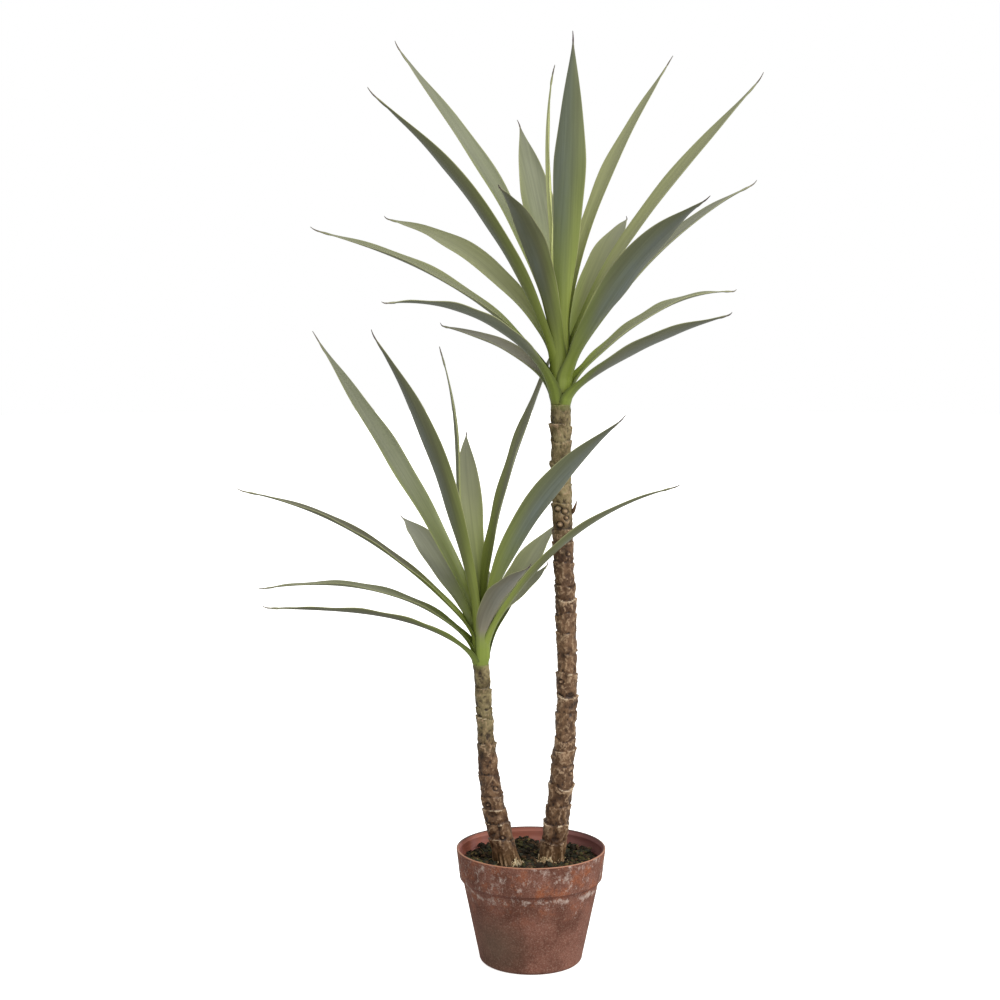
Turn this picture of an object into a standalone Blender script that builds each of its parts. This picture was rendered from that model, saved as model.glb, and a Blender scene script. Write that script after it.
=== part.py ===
"""Potted artificial yucca: two ringed stems in a clay-coloured pot, each with a head of sword leaves.

Metres, +Z up. The origin is the centre of the pot's flat underside, +X is to the right and -Y is the front.
Every leaf grows from a green heart on top of its stem, and its blade is a thin channel that ends in a spine.
"""

import math
import random
from collections import namedtuple

import bmesh
import bpy
from mathutils import Matrix, Vector, noise

GAP = 0.0003  # clearance between pieces that touch
ARC_STEPS = 4
SMOOTH_BELOW = 40  # degrees: flatter edges than this are shaded smooth

# Pot: a thin turned shell with a collar below its lip
POT_HEIGHT = 0.140
RIM_RADIUS = 0.090
BASE_RADIUS = 0.0625
COLLAR_HEIGHT = 0.037
COLLAR_TAPER = 0.0040  # how far the collar leans in towards its lower edge
COLLAR_STEP = 0.0042
WALL = 0.0026
HEEL_RADIUS = 0.0065  # the round edge where the wall meets the underside
POT_SIDES = 48

# Moss: the top of the fill that holds the stems
MOSS_LEVEL = 0.118  # height of the flat seats under the stems
MOSS_LUMP = 0.0065  # how far the lumps rise
LUMP_MEAN = 0.45  # mean rise of the top, as a share of a lump
LUMP_LEAST = 0.08
LUMPS_PER_METRE = 55
MOSS_SIDES = 30
MOSS_ROWS = 8
MOSS_ROW_SHARES = (0.94, 0.06)  # radius of the outermost and of the innermost row as shares of the moss
SEAT_MARGIN = 0.0035  # how far a seat reaches beyond its stem

# Stems: x and y of the foot and of the top, the top's height, the bow and sway between them, the radii, the
# share of the height by which the stem has thinned to its top, and its leaf scars
Stem = namedtuple("Stem", "foot top height bow sway foot_radius top_radius settle scars")
STEMS = {
    "tall": Stem((0.024, 0.002), (0.034, 0.002), 0.675, 0.013, 0.004, 0.0150, 0.0116, 0.42, 26),
    "short": Stem((-0.027, -0.004), (-0.060, -0.010), 0.366, -0.008, -0.0015, 0.0148, 0.0093, 0.80, 11),
}
FOOT_FLARE = 0.0015
SCAR_RISE = 0.0011  # how far a leaf scar stands out of the bark
SCAR_LIP = 0.0035  # height of the lip above a scar's crest
SCAR_TILT = 0.11
STEM_SIDES = 12

# Heart: the green bud that the leaves leave by turns, lowest leaf first
Heart = namedtuple("Heart", "height belly first_seat last_seat")
HEARTS = {
    "tall": Heart(0.094, 0.0132, 0.009, 0.078),
    "short": Heart(0.076, 0.0100, 0.008, 0.062),
}
HEART_BELLY_AT = 0.22  # height of the widest part as a share
HEART_OUTLINE = ((0.92, 0.30), (0.76, 0.62), (0.42, 0.94))  # above it: shares of the belly and of the way up
HEART_SIDES = 16
LIFT = Vector((0, 0, GAP))  # of a heart above its stem
Head = namedtuple("Head", "stem heart cutter")  # a heart on its stem, and what keeps the leaves off it

# Leaves: the tip from the stem's top (right, back and up, in millimetres), the angles above level at which it
# leaves the heart and at which its tip points, its widest width, the twist in degrees, the bow to its left
# seen from the heart, in millimetres, and how far round the heart its root is turned, in degrees
Leaf = namedtuple("Leaf", "right back up rise fall width twist bow turn", defaults=(38, 0, 0, 0))
LEAVES = {
    "tall": (
        Leaf(190, -110, 109, 37, 15, 34, -12),
        Leaf(-147, 150, 88, 43, 10, 34),
        Leaf(-205, -110, 120, 60, -6, 32, 8),
        Leaf(220, 108, 130, 43, -3, 30),
        Leaf(10, 205, 112, 62, 5, 34, 0, 0, -15),
        Leaf(-295, 15, 205, 55, 15, 35, -10),
        Leaf(155, -180, 236, 57, 23, 39, -18, 0, 2),
        Leaf(244, 120, 263, 58, 23, 36, 0, 0, -8),
        Leaf(90, 195, 221, 68, 14, 36, 0, -12, 5),
        Leaf(-74, -190, 248, 78, 14, 30, 0, -4, 8),
        Leaf(-217, -140, 354, 68, 35, 34),
        Leaf(-219, 190, 221, 56, 10, 37, -14),
        Leaf(241, 50, 387, 68, 49, 36, 11, 0, -2),
        Leaf(-202, 150, 435, 80, 49, 38, 0, 4, 9),
        Leaf(139, 138, 415, 82, 50, 29, -10, 3, 4),
        Leaf(-48, 200, 342, 76, 44, 41, 0, 2, 5),
        Leaf(11, -60, 425, 88, 82, 37, -20, 2),
        Leaf(-8, 20, 394, 87, 116, 32, 64, 2, 20),
    ),
    "short": (
        Leaf(-252, -70, 80, 41, 5, 35, 10),
        Leaf(57, -130, 138, 87, 26, 31, 0, -2),
        Leaf(98, 180, 148, 44, 20, 35),
        Leaf(-274, 65, 79, 46, -11, 29, 1),
        Leaf(-10, 190, 100, 62, 6, 34),
        Leaf(228, -100, 225, 60, 15, 32, -3),
        Leaf(82, 60, 113, 50, 44, 35, 0, 0, 16),
        Leaf(-294, 40, 204, 48, 9, 34, 4),
        Leaf(-103, 180, 154, 49, 6, 38, 0, 9, 6),
        Leaf(161, -160, 308, 76, 33, 36, -18, 0, 8),
        Leaf(-122, -120, 401, 77, 50, 33),
        Leaf(-210, 155, 389, 61, 51, 40),
        Leaf(94, 80, 388, 88, 64, 33, -22, 0, -6),
        Leaf(-20, 205, 260, 80, 22, 30, 0, 9, -16),
        Leaf(-49, 10, 377, 67, 71, 28, 10),
    ),
}
ROOT_SHARES = (0.38, 0.20)  # width of the lowest and of the topmost root as shares of the widest width
WIDEST_AT = 0.58  # share of the length
SWELL = 1.3  # how late the blade widens
TAPER = 1.25  # how late it narrows
TAPER_EASE = 0.12  # how gently the narrowing starts
BLADE_END = 0.955  # where the blade gives way to its spine
ROOT_DEPTH = 0.0035  # how far a leaf starts inside the heart, which then cuts it to fit
ROOT_WRAP = 24  # degrees by which each root is rolled, so that neighbours lap like the petals of a bud
WRAP_FADES = 0.45  # share of the length
LEAST_THICKNESS = 0.01  # share of the length
RIB_FADES = 0.72  # share of the length past which the midrib thins to the spine
EDGE_THICKNESS = 0.0012
SPINE_RADIUS = 0.0011
SPINE_END = 0.45  # the spine's radius at its point, as a share
CHANNEL = 0.15  # depth of the channel as a share of the width
HANDLE = 0.36  # how far each end of the leaf keeps its own direction, as a share of the span
MIDDLE_SHARE = 0.75  # how far the leaf's middle follows when both of its inner control points are moved
LEAF_STATIONS = 12

# Finishes: colour (linear) and roughness
FINISHES = {
    "painted_clay_look": ((0.30, 0.115, 0.065), 0.75),
    "dark_moss": ((0.035, 0.045, 0.025), 0.95),
    "moulded_bark": ((0.17, 0.10, 0.055), 0.65),
    "heart_green": ((0.20, 0.25, 0.06), 0.5),
    "leaf_green": ((0.17, 0.21, 0.09), 0.5),
}
PLANT = "potted_yucca"
CUTTERS = "cutters"

SEED = 7


def start_scene():
    """An empty scene with the two collections and the finishes."""
    for obj in list(bpy.data.objects):
        bpy.data.objects.remove(obj, do_unlink=True)
    for name in (PLANT, CUTTERS):
        bpy.context.scene.collection.children.link(bpy.data.collections.new(name))
    for name, (colour, roughness) in FINISHES.items():
        finish = bpy.data.materials.new(name)
        finish.use_nodes = True
        shader = finish.node_tree.nodes["Principled BSDF"]
        shader.inputs["Base Color"].default_value = (*colour, 1.0)
        shader.inputs["Roughness"].default_value = roughness
        shader.inputs["Metallic"].default_value = 0.0
        finish.diffuse_color = (*colour, 1.0)


def add_object(name, mesh, finish=None):
    """A piece of the plant in its finish, or a hidden cutter where it has none."""
    obj = bpy.data.objects.new(name, mesh)
    bpy.data.collections[PLANT if finish else CUTTERS].objects.link(obj)
    if finish:
        mesh.materials.append(bpy.data.materials[finish])
    else:
        obj.hide_render = True
        obj.display_type = "WIRE"
    return obj


def between(a, b, share):
    return a + (b - a) * share


def smooth_step(x):
    x = min(max(x, 0.0), 1.0)
    return x * x * (3.0 - 2.0 * x)


def ring(radius, sides, height=0.0):
    """Points of a level circle about the Z axis."""
    angles = [2 * math.pi * i / sides for i in range(sides)]
    return [Vector((radius * math.cos(a), radius * math.sin(a), height)) for a in angles]


def arc(centre, radius, start, end, steps):
    """Points of an arc in the (radius, height) plane, angles in degrees."""
    angles = [math.radians(between(start, end, i / steps)) for i in range(steps + 1)]
    return [(centre[0] + radius * math.cos(a), centre[1] + radius * math.sin(a)) for a in angles]


def loft(name, rings, finish):
    """A closed mesh over rings of as many points each, with a flat cap at both ends."""
    mesh = bmesh.new()
    made = [[mesh.verts.new(point) for point in ring_points] for ring_points in rings]
    for low, high in zip(made, made[1:]):
        for i in range(len(low)):
            j = (i + 1) % len(low)
            mesh.faces.new((low[i], low[j], high[j], high[i]))
    mesh.faces.new(reversed(made[0]))
    mesh.faces.new(made[-1])
    bmesh.ops.recalc_face_normals(mesh, faces=mesh.faces)
    data = bpy.data.meshes.new(name)
    mesh.to_mesh(data)
    mesh.free()
    data.shade_smooth()
    data.set_sharp_from_angle(angle=math.radians(SMOOTH_BELOW))
    return add_object(name, data, finish)


def turned(name, profile, sides, finish=None):
    """A Screw modifier turns the profile, which runs down its outer side."""
    data = bpy.data.meshes.new(name)
    points = [(radius, 0.0, height) for radius, height in profile]
    data.from_pydata(points, [(i, i + 1) for i in range(len(points) - 1)], [])
    obj = add_object(name, data, finish)
    screw = obj.modifiers.new("turn", "SCREW")
    screw.steps = screw.render_steps = sides
    screw.use_merge_vertices = True
    screw.merge_threshold = 0.00001
    screw.use_smooth_shade = True
    return obj


def cut(obj, cutter):
    boolean = obj.modifiers.new("cut", "BOOLEAN")
    boolean.operation = "DIFFERENCE"
    boolean.object = cutter


def outer_wall():
    """The pot's outside from the lip's edge down to the rim of its flat underside, as (radius, height)."""
    collar_foot = POT_HEIGHT - COLLAR_HEIGHT
    collar_low = RIM_RADIUS - COLLAR_TAPER
    wall = [(RIM_RADIUS, POT_HEIGHT - WALL / 2), (collar_low, collar_foot)]
    wall += [(collar_low - COLLAR_STEP, collar_foot - COLLAR_STEP)]
    heel = (BASE_RADIUS - HEEL_RADIUS, HEEL_RADIUS)
    return wall + arc(heel, HEEL_RADIUS, 0, -90, ARC_STEPS)


def radius_at(outline, height):
    """The radius of an outline, which runs downwards, at a height."""
    for (upper, high), (lower, low) in zip(outline, outline[1:]):
        if low <= height <= high:
            return between(lower, upper, (height - low) / (high - low))
    return 0.0


def inner_radius(height):
    return radius_at(outer_wall(), height) - WALL


def build_pot():
    """Up the inside from the middle of the floor, over the round lip, and down the outside."""
    collar_foot = POT_HEIGHT - COLLAR_HEIGHT
    floor = [(0.0, WALL), (inner_radius(HEEL_RADIUS), WALL)]
    inside = [(inner_radius(height), height) for height in (collar_foot - COLLAR_STEP, collar_foot)]
    lip = arc((RIM_RADIUS - WALL / 2, POT_HEIGHT - WALL / 2), WALL / 2, 180, 0, ARC_STEPS)
    turned("pot", floor + inside + lip + outer_wall()[1:] + [(0.0, 0.0)], POT_SIDES, "painted_clay_look")


def moss_height(x, y):
    lumps = noise.fractal(Vector((x, y, 0.3)) * LUMPS_PER_METRE, 1.0, 2.0, 3)
    return MOSS_LEVEL + MOSS_LUMP * max(LUMP_LEAST, LUMP_MEAN + lumps)


def build_moss():
    """A plug that fits inside the pot, with a lumpy top that has a flat seat for each stem."""
    shoulder = MOSS_LEVEL - MOSS_LUMP / 2
    foot = (inner_radius(HEEL_RADIUS) - 3 * GAP, WALL + GAP)
    below_collar = POT_HEIGHT - COLLAR_HEIGHT - 2 * COLLAR_STEP
    side = [foot] + [(inner_radius(height) - 3 * GAP, height) for height in (below_collar, shoulder)]
    rings = [ring(radius, MOSS_SIDES, height) for radius, height in side]
    for row in range(MOSS_ROWS):
        circle = ring(side[-1][0] * between(*MOSS_ROW_SHARES, row / (MOSS_ROWS - 1)), MOSS_SIDES)
        rings.append([Vector((point.x, point.y, moss_height(point.x, point.y))) for point in circle])
    moss = loft("moss", rings, "dark_moss")
    for name, stem in STEMS.items():
        seat = stem.foot_radius + SEAT_MARGIN
        top = MOSS_LEVEL + 3 * MOSS_LUMP
        outline = [(0.0, top), (seat, top), (seat, MOSS_LEVEL), (0.0, MOSS_LEVEL)]
        cutter = turned("seat_" + name, outline, STEM_SIDES)
        cutter.location = (*stem.foot, 0)
        cut(moss, cutter)


def stem_centre(stem, share):
    """A point of the stem's centre line at a share of its height."""
    x = between(stem.foot[0], stem.top[0], share)
    x += stem.bow * math.sin(math.pi * share) + stem.sway * math.sin(2 * math.pi * share)
    y = between(stem.foot[1], stem.top[1], share)
    return Vector((x, y, between(MOSS_LEVEL + GAP, stem.height, share)))


def stem_radius(stem, share):
    return between(stem.foot_radius, stem.top_radius, smooth_step(share / stem.settle))


def scar_shares(stem, rule):
    """Heights of the leaf scars as shares of the stem, unevenly spaced."""
    steps = [rule.uniform(0.7, 1.3) for _ in range(stem.scars + 1)]
    return [sum(steps[:i]) / sum(steps) for i in range(1, stem.scars + 1)]


def stem_ring(stem, share, radius, tilt=0.0, turn=0.0):
    """A ring about the centre line that rises towards one side, measured from the stem's foot."""
    centre = stem_centre(stem, share) - stem_centre(stem, 0.0)
    towards = Vector((math.cos(turn), math.sin(turn), 0))
    return [centre + point + Vector((0, 0, tilt * point.dot(towards))) for point in ring(radius, STEM_SIDES)]


def build_stem(name, stem):
    """Stacked cups: each length of bark widens up to the next leaf scar, and both ends are flat and level."""
    rule = random.Random(SEED + stem.scars)
    lip = SCAR_LIP / (stem.height - MOSS_LEVEL)
    rings = [stem_ring(stem, 0.0, stem.foot_radius + FOOT_FLARE)]
    for share in scar_shares(stem, rule):
        lean = (rule.uniform(0.0, SCAR_TILT), rule.uniform(0.0, 2 * math.pi))
        crest = stem_radius(stem, share) + SCAR_RISE * rule.uniform(0.6, 1.3)
        rings.append(stem_ring(stem, share, crest, *lean))
        rings.append(stem_ring(stem, share + lip, stem_radius(stem, share) - SCAR_RISE / 2, *lean))
    rings.append(stem_ring(stem, 1.0, stem.top_radius))
    loft("stem_" + name, rings, "moulded_bark").location = stem_centre(stem, 0.0)


def heart_outline(head):
    """The bud's outside from its tip down, as (radius, height above the stem's top)."""
    belly = (head.heart.belly, HEART_BELLY_AT)
    upper = [(belly[0] * wide, between(HEART_BELLY_AT, 1.0, up)) for wide, up in HEART_OUTLINE]
    outline = [(0.0, 1.0)] + upper[::-1] + [belly, (head.stem.top_radius, 0.0)]
    return [(radius, height * head.heart.height) for radius, height in outline]


def build_heart(name, head):
    outline = heart_outline(head) + [(0.0, 0.0)]
    turned("heart_" + name, outline, HEART_SIDES, "heart_green").location = stem_centre(head.stem, 1.0) + LIFT


def build_heart_cutter(name, head):
    """The heart with its clearance, which keeps every leaf's root off it."""
    tip, *side = heart_outline(head)
    outline = [(0.0, tip[1] + GAP)] + [(radius + GAP, height) for radius, height in side]
    outline += [(head.stem.top_radius + GAP, -GAP), (0.0, -GAP)]
    cutter = turned("heart_cutter_" + name, outline, HEART_SIDES)
    cutter.location = stem_centre(head.stem, 1.0) + LIFT
    return cutter


def leaf_path(head, leaf, turn_share):
    """The four control points of a leaf's midrib, measured from the stem's top, and its heading."""
    seat = between(head.heart.first_seat, head.heart.last_seat, turn_share)
    tip = Vector((leaf.right, leaf.back, leaf.up)) / 1000
    heading = Vector((leaf.right, leaf.back, 0)).normalized()
    start = Matrix.Rotation(math.radians(leaf.turn), 3, "Z") @ heading
    root = start * (radius_at(heart_outline(head), seat) - ROOT_DEPTH) + Vector((0, 0, seat))
    handle = (tip - root).length * HANDLE
    rise, fall = math.radians(leaf.rise), math.radians(leaf.fall)
    bow = Vector((-heading.y, heading.x, 0)) * leaf.bow / 1000 / MIDDLE_SHARE
    out = root + bow + handle * (start * math.cos(rise) + Vector((0, 0, math.sin(rise))))
    back = tip + bow - handle * (heading * math.cos(fall) + Vector((0, 0, math.sin(fall))))
    return (root, out, back, tip), heading


def bezier(points, t):
    """A point and a direction of a cubic curve."""
    a, b, c, d = points
    s = 1.0 - t
    place = a * s**3 + b * 3 * s * s * t + c * 3 * s * t * t + d * t**3
    slope = (b - a) * s * s + (c - b) * 2 * s * t + (d - c) * t * t
    return place, slope.normalized()


def blade_width(t, root):
    """Width at a share of the length, as a share of the widest."""
    if t < WIDEST_AT:
        return between(root, 1.0, math.sin(math.pi / 2 * t / WIDEST_AT) ** SWELL)
    past = (t - WIDEST_AT) / (BLADE_END - WIDEST_AT)
    return 1 - (past * past * (1 + TAPER_EASE) / (past + TAPER_EASE)) ** TAPER


def leaf_section(t, width, root, length):
    """Six points across the blade, as (sideways, upwards): its raised edges, midrib and keel."""
    spine = SPINE_RADIUS * between(1.0, SPINE_END, (t - BLADE_END) / (1 - BLADE_END))
    half = width * blade_width(t, root) / 2 if t < BLADE_END else spine
    depth = 2 * half * CHANNEL
    fade = smooth_step((t - RIB_FADES) / (BLADE_END - RIB_FADES))
    rib = between(length * LEAST_THICKNESS / 2, spine, fade)
    edge = min(EDGE_THICKNESS, half) / 2
    upper = [(-half, depth + edge), (0.0, rib), (half, depth + edge)]
    return upper + [(half, depth - edge), (0.0, -rib), (-half, depth - edge)]


def build_leaf(name, head, leaf, turn_share):
    """A channelled blade along its path, its root cut to fit the heart."""
    path, heading = leaf_path(head, leaf, turn_share)
    length = (path[3] - path[0]).length
    side = Vector((-heading.y, heading.x, 0))
    root = between(*ROOT_SHARES, turn_share)
    rings = []
    for t in [i / LEAF_STATIONS for i in range(LEAF_STATIONS)] + [BLADE_END, 1.0]:
        place, along = bezier(path, t)
        roll = between(ROOT_WRAP, leaf.twist, smooth_step(t / WRAP_FADES))
        twist = Matrix.Rotation(math.radians(roll), 3, along)
        across, face = twist @ side, twist @ along.cross(side)
        section = leaf_section(t, leaf.width / 1000, root, length)
        rings.append([place + across * x + face * y for x, y in section])
    made = loft(name, rings, "leaf_green")
    made.location = stem_centre(head.stem, 1.0)
    cut(made, head.cutter)


def main():
    start_scene()
    build_pot()
    build_moss()
    for name, stem in STEMS.items():
        head = Head(stem, HEARTS[name], None)
        build_stem(name, stem)
        build_heart(name, head)
        head = head._replace(cutter=build_heart_cutter(name, head))
        for rank, leaf in enumerate(LEAVES[name]):
            build_leaf(f"leaf_{name}_{rank + 1:02d}", head, leaf, rank / (len(LEAVES[name]) - 1))


main()
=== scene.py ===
import math
import random
from collections import namedtuple

import bpy
import numpy as np
from mathutils import Matrix, Vector, noise


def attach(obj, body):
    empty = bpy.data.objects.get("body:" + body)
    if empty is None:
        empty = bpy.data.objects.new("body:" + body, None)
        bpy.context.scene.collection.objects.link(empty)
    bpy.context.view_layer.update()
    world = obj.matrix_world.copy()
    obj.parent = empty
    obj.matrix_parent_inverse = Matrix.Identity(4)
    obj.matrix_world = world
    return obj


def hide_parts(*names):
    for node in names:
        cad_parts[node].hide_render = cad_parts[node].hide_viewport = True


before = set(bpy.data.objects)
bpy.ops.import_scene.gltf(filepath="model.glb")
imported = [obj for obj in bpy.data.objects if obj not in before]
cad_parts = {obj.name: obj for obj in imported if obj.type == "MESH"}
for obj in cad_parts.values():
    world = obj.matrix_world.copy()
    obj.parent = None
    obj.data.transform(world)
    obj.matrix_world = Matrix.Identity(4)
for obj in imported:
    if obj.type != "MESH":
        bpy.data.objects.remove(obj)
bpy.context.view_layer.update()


# The pot
# A round nursery pot with a collar, injection moulded from brick-coloured polypropylene. Its outside is
# sponged and spattered to look like old clay with lime on it, and its inside and lip are left as they were
# moulded.

POT_HEIGHT = 0.140
RIM_RADIUS = 0.090
BASE_RADIUS = 0.0625
COLLAR_HEIGHT = 0.037
COLLAR_TAPER = 0.0040
COLLAR_STEP = 0.0042
COLLAR_ROUND = 0.0012
POT_WALL = 0.0026
HEEL_RADIUS = 0.0065
BAND_HEIGHTS = (0.1345, 0.1215)  # two shallow bands inside, under the lip
BAND_DEPTH = 0.0003
BAND_HALVES = (0.0010, 0.0004)  # half a band's width at the wall and at its depth
POT_SIDES = 160


def between(a, b, share):
    return a + (b - a) * share


def smooth_step(x):
    x = min(max(x, 0.0), 1.0)
    return x * x * (3.0 - 2.0 * x)


def linear(hex_colour):
    """An sRGB colour, such as #7a5b40, as linear red, green, blue and alpha."""
    parts = [int(hex_colour[i : i + 2], 16) / 255 for i in (1, 3, 5)]
    return (*[p / 12.92 if p <= 0.04045 else ((p + 0.055) / 1.055) ** 2.4 for p in parts], 1.0)


def add(tree, kind, *values, out="", **named):
    """Adds a shader node and gives its first open output, or the one named. Values feed its open inputs in
    order, a keyword with a capital feeds the input of that name, and any other is a setting of the node."""
    made = tree.nodes.new("ShaderNode" + kind)
    for key, value in named.items():
        if key[0].islower():
            setattr(made, key, value)
    fed = list(zip([socket for socket in made.inputs if socket.enabled], values))
    fed += [(made.inputs[key], value) for key, value in named.items() if key[0].isupper()]
    for socket, value in fed:
        if isinstance(value, bpy.types.NodeSocket):
            tree.links.new(value, socket)
        else:
            socket.default_value = linear(value) if isinstance(value, str) else value
    return next((socket for socket in made.outputs if socket.enabled and out in ("", socket.name)), None)


def new_material(name, roughness, ior=1.5, specular=0.5):
    """An opaque material, its node tree and its shader."""
    made = bpy.data.materials.new(name)
    made.use_nodes = True
    shader = made.node_tree.nodes["Principled BSDF"]
    shader.inputs["Roughness"].default_value = roughness
    shader.inputs["IOR"].default_value = ior
    shader.inputs["Specular IOR Level"].default_value = specular
    return made, made.node_tree, shader


def finish_coats(tree, shader, ground, coats=(), relief=None, strength=0.0, depth=0.0):
    """Lays coats of colour over the ground, each by its share, and gives the skin its colour and relief."""
    for share, colour in coats:
        ground = add(tree, "Mix", share, ground, colour, data_type="RGBA")
    tree.links.new(ground, shader.inputs["Base Color"])
    if relief is not None:
        bump = add(tree, "Bump", Strength=strength, Distance=depth, Height=relief)
        tree.links.new(bump, shader.inputs["Normal"])
    return ground


def ring(radius, height, sides):
    """Points evenly round the Z axis."""
    turns = [2 * math.pi * i / sides for i in range(sides)]
    return [(radius * math.cos(turn), radius * math.sin(turn), height) for turn in turns]


def arc(centre, radius, start, end, steps):
    """Points of an arc in the (radius, height) plane, angles in degrees."""
    angles = [math.radians(between(start, end, i / steps)) for i in range(steps + 1)]
    return [(centre[0] + radius * math.cos(a), centre[1] + radius * math.sin(a)) for a in angles]


def fill_in(points, longest):
    """The same broken line with more points, none further apart than the longest step."""
    filled = [points[0]]
    for a, b in zip(points, points[1:]):
        steps = max(1, math.ceil(math.dist(a, b) / longest))
        for i in range(1, steps + 1):
            filled.append(tuple(between(start, end, i / steps) for start, end in zip(a, b)))
    return filled


def outer_wall():
    """The pot's outside from the lip's edge down to the rim of its flat underside, as (radius, height)."""
    collar_foot = POT_HEIGHT - COLLAR_HEIGHT
    collar_low = RIM_RADIUS - COLLAR_TAPER
    wall = [(RIM_RADIUS, POT_HEIGHT - POT_WALL / 2)]
    wall += arc((collar_low - COLLAR_ROUND, collar_foot + COLLAR_ROUND), COLLAR_ROUND, 5, -50, 5)
    wall += [(collar_low - COLLAR_STEP, collar_foot - COLLAR_STEP)]
    return wall + arc((BASE_RADIUS - HEEL_RADIUS, HEEL_RADIUS), HEEL_RADIUS, 0, -90, 10)


def radius_at(outline, height):
    """The radius of an outline, which runs downwards, at a height."""
    for (upper, high), (lower, low) in zip(outline, outline[1:]):
        if low <= height <= high and high > low:
            return between(lower, upper, (height - low) / (high - low))
    return 0.0


def inner_radius(height):
    return radius_at(outer_wall(), height) - POT_WALL


def build_mesh(name, places, faces, slots=None, smooth=True):
    """A mesh, smooth or faceted, with the number of its material for each face."""
    data = bpy.data.meshes.new(name)
    data.from_pydata([tuple(p) for p in places], [], faces)
    if slots is not None:
        data.polygons.foreach_set("material_index", slots)
    data.polygons.foreach_set("use_smooth", [smooth] * len(data.polygons))
    data.update()
    return data


def set_attribute(data, name, kind, values):
    """A value or a vector for each point of the mesh, for its material to read."""
    layer = data.attributes.new(name, kind, "POINT")
    layer.data.foreach_set("value" if kind == "FLOAT" else "vector", np.asarray(values, np.float32).ravel())


def set_unwrap(data, corners):
    """The mesh's own unwrapping, two numbers for each corner of each face."""
    layer = data.uv_layers.new(name="unwrapped")
    layer.data.foreach_set("uv", np.asarray(corners, np.float32).ravel())


def place_piece(name, data, materials, slot, *nodes):
    """Adds a piece of the plant, which rides on its one body and may stand for some of its solids."""
    piece = bpy.data.objects.new(name, data)
    bpy.context.scene.collection.objects.link(piece)
    for material in materials:
        data.materials.append(material)
    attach(piece, "root")
    if nodes:
        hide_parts(*nodes)


def turned_mesh(name, profile, sides, inside_rows=0):
    """The profile turned about the Z axis, from one point on the axis to another, its faces outwards."""
    rings = profile[1:-1]
    places = [(0.0, 0.0, profile[0][1])]
    for radius, height in rings:
        places += ring(radius, height, sides)
    places.append((0.0, 0.0, profile[-1][1]))
    last = len(places) - 1
    along = np.cumsum([0.0] + [math.dist(a, b) for a, b in zip(profile, profile[1:])])
    along = along / along[-1]
    faces, corners, slots = [], [], []
    for row in range(len(rings) + 1):
        for i in range(sides):
            left, right = i / sides, (i + 1) / sides
            low = [1 + (row - 1) * sides + i, 1 + (row - 1) * sides + (i + 1) % sides]
            high = [1 + row * sides + (i + 1) % sides, 1 + row * sides + i]
            low_uv = [(left, along[row]), (right, along[row])]
            high_uv = [(right, along[row + 1]), (left, along[row + 1])]
            if row == 0:
                low, low_uv = [0], [((left + right) / 2, along[0])]
            if row == len(rings):
                high, high_uv = [last], [((left + right) / 2, along[-1])]
            faces.append((low + high)[::-1])
            corners += (low_uv + high_uv)[::-1]
            slots.append(1 if row < inside_rows else 0)
    data = build_mesh(name, places, faces, slots)
    set_unwrap(data, corners)
    return data


# Acrylic paint sponged on polypropylene: dead matt, with brown patches 40 mm across, patches of rust 18 mm
# across towards the rim, lime where clay would sweat, and a dark line of painted shadow just under the
# collar's step. Its grains of under 1 mm are drawn 2 mm wide so that they show.
DAMP_SPOT = (-0.042, -0.052, 0.034)
LIME_HEIGHT = 0.0950
COLLAR_SHADE_HEIGHT = 0.1015

clay_paint, tree, shader = new_material("sponged_clay_paint", 0.82, specular=0.3)
spot = add(tree, "TexCoord", out="Object")
height = add(tree, "SeparateXYZ", spot, out="Z")
patches = add(tree, "TexNoise", spot, Scale=26.0, Detail=5.0, Roughness=0.62)
patches = add(tree, "MapRange", patches, 0.36, 0.62)
ground = add(tree, "Mix", patches, "#623a2d", "#85584a", data_type="RGBA")
rust = add(tree, "TexNoise", spot, Scale=55.0, Detail=7.0, Roughness=0.72)
rust = add(tree, "MapRange", rust, 0.50, 0.62)
high = add(tree, "MapRange", height, 0.060, 0.105, 0.05, 0.9)
rust = add(tree, "Math", rust, high, operation="MULTIPLY")
grain = add(tree, "TexNoise", spot, Scale=500.0, Detail=4.0, Roughness=0.8)
dark_grain = add(tree, "MapRange", grain, 0.48, 0.36, 0.0, 0.65)
pale_grain = add(tree, "MapRange", grain, 0.52, 0.66, 0.0, 0.52)
damp = add(tree, "VectorMath", spot, DAMP_SPOT, operation="DISTANCE")
damp = add(tree, "MapRange", damp, 0.048, 0.008, 0.0, 0.55)
# Smears of lime about 8 mm across with ragged edges, in drifts of about 17 mm. They lie thickest along a
# wandering line below the collar, thinner on the collar, and fade out towards the foot.
smear = add(tree, "Mapping", spot, Scale=(120.0, 120.0, 85.0))
lime = add(tree, "TexNoise", smear, Scale=1.0, Detail=7.0, Roughness=0.78)
drift = add(tree, "TexNoise", spot, Scale=60.0, Detail=5.0, Roughness=0.65)
drift = add(tree, "MapRange", drift, 0.36, 0.66, -0.07, 0.06)
wander = add(tree, "TexNoise", spot, Scale=34.0, Detail=6.0, Roughness=0.7)
wander = add(tree, "MapRange", wander, 0.3, 0.7, -0.006, 0.006)
line = add(tree, "Math", height, wander, operation="ADD")
line = add(tree, "Math", line, LIME_HEIGHT, operation="SUBTRACT")
line = add(tree, "Math", line, operation="ABSOLUTE")
line = add(tree, "MapRange", line, 0.0055, 0.0006, 0.0, 0.11)
collar = add(tree, "MapRange", height, 0.100, 0.120, 0.0, 0.03)
low = add(tree, "MapRange", height, 0.060, 0.092, -0.12, -0.01)
speck = add(tree, "MapRange", grain, 0.3, 0.7, -0.05, 0.05)
for part in (line, collar, low, drift, speck):
    lime = add(tree, "Math", lime, part, operation="ADD")
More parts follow.
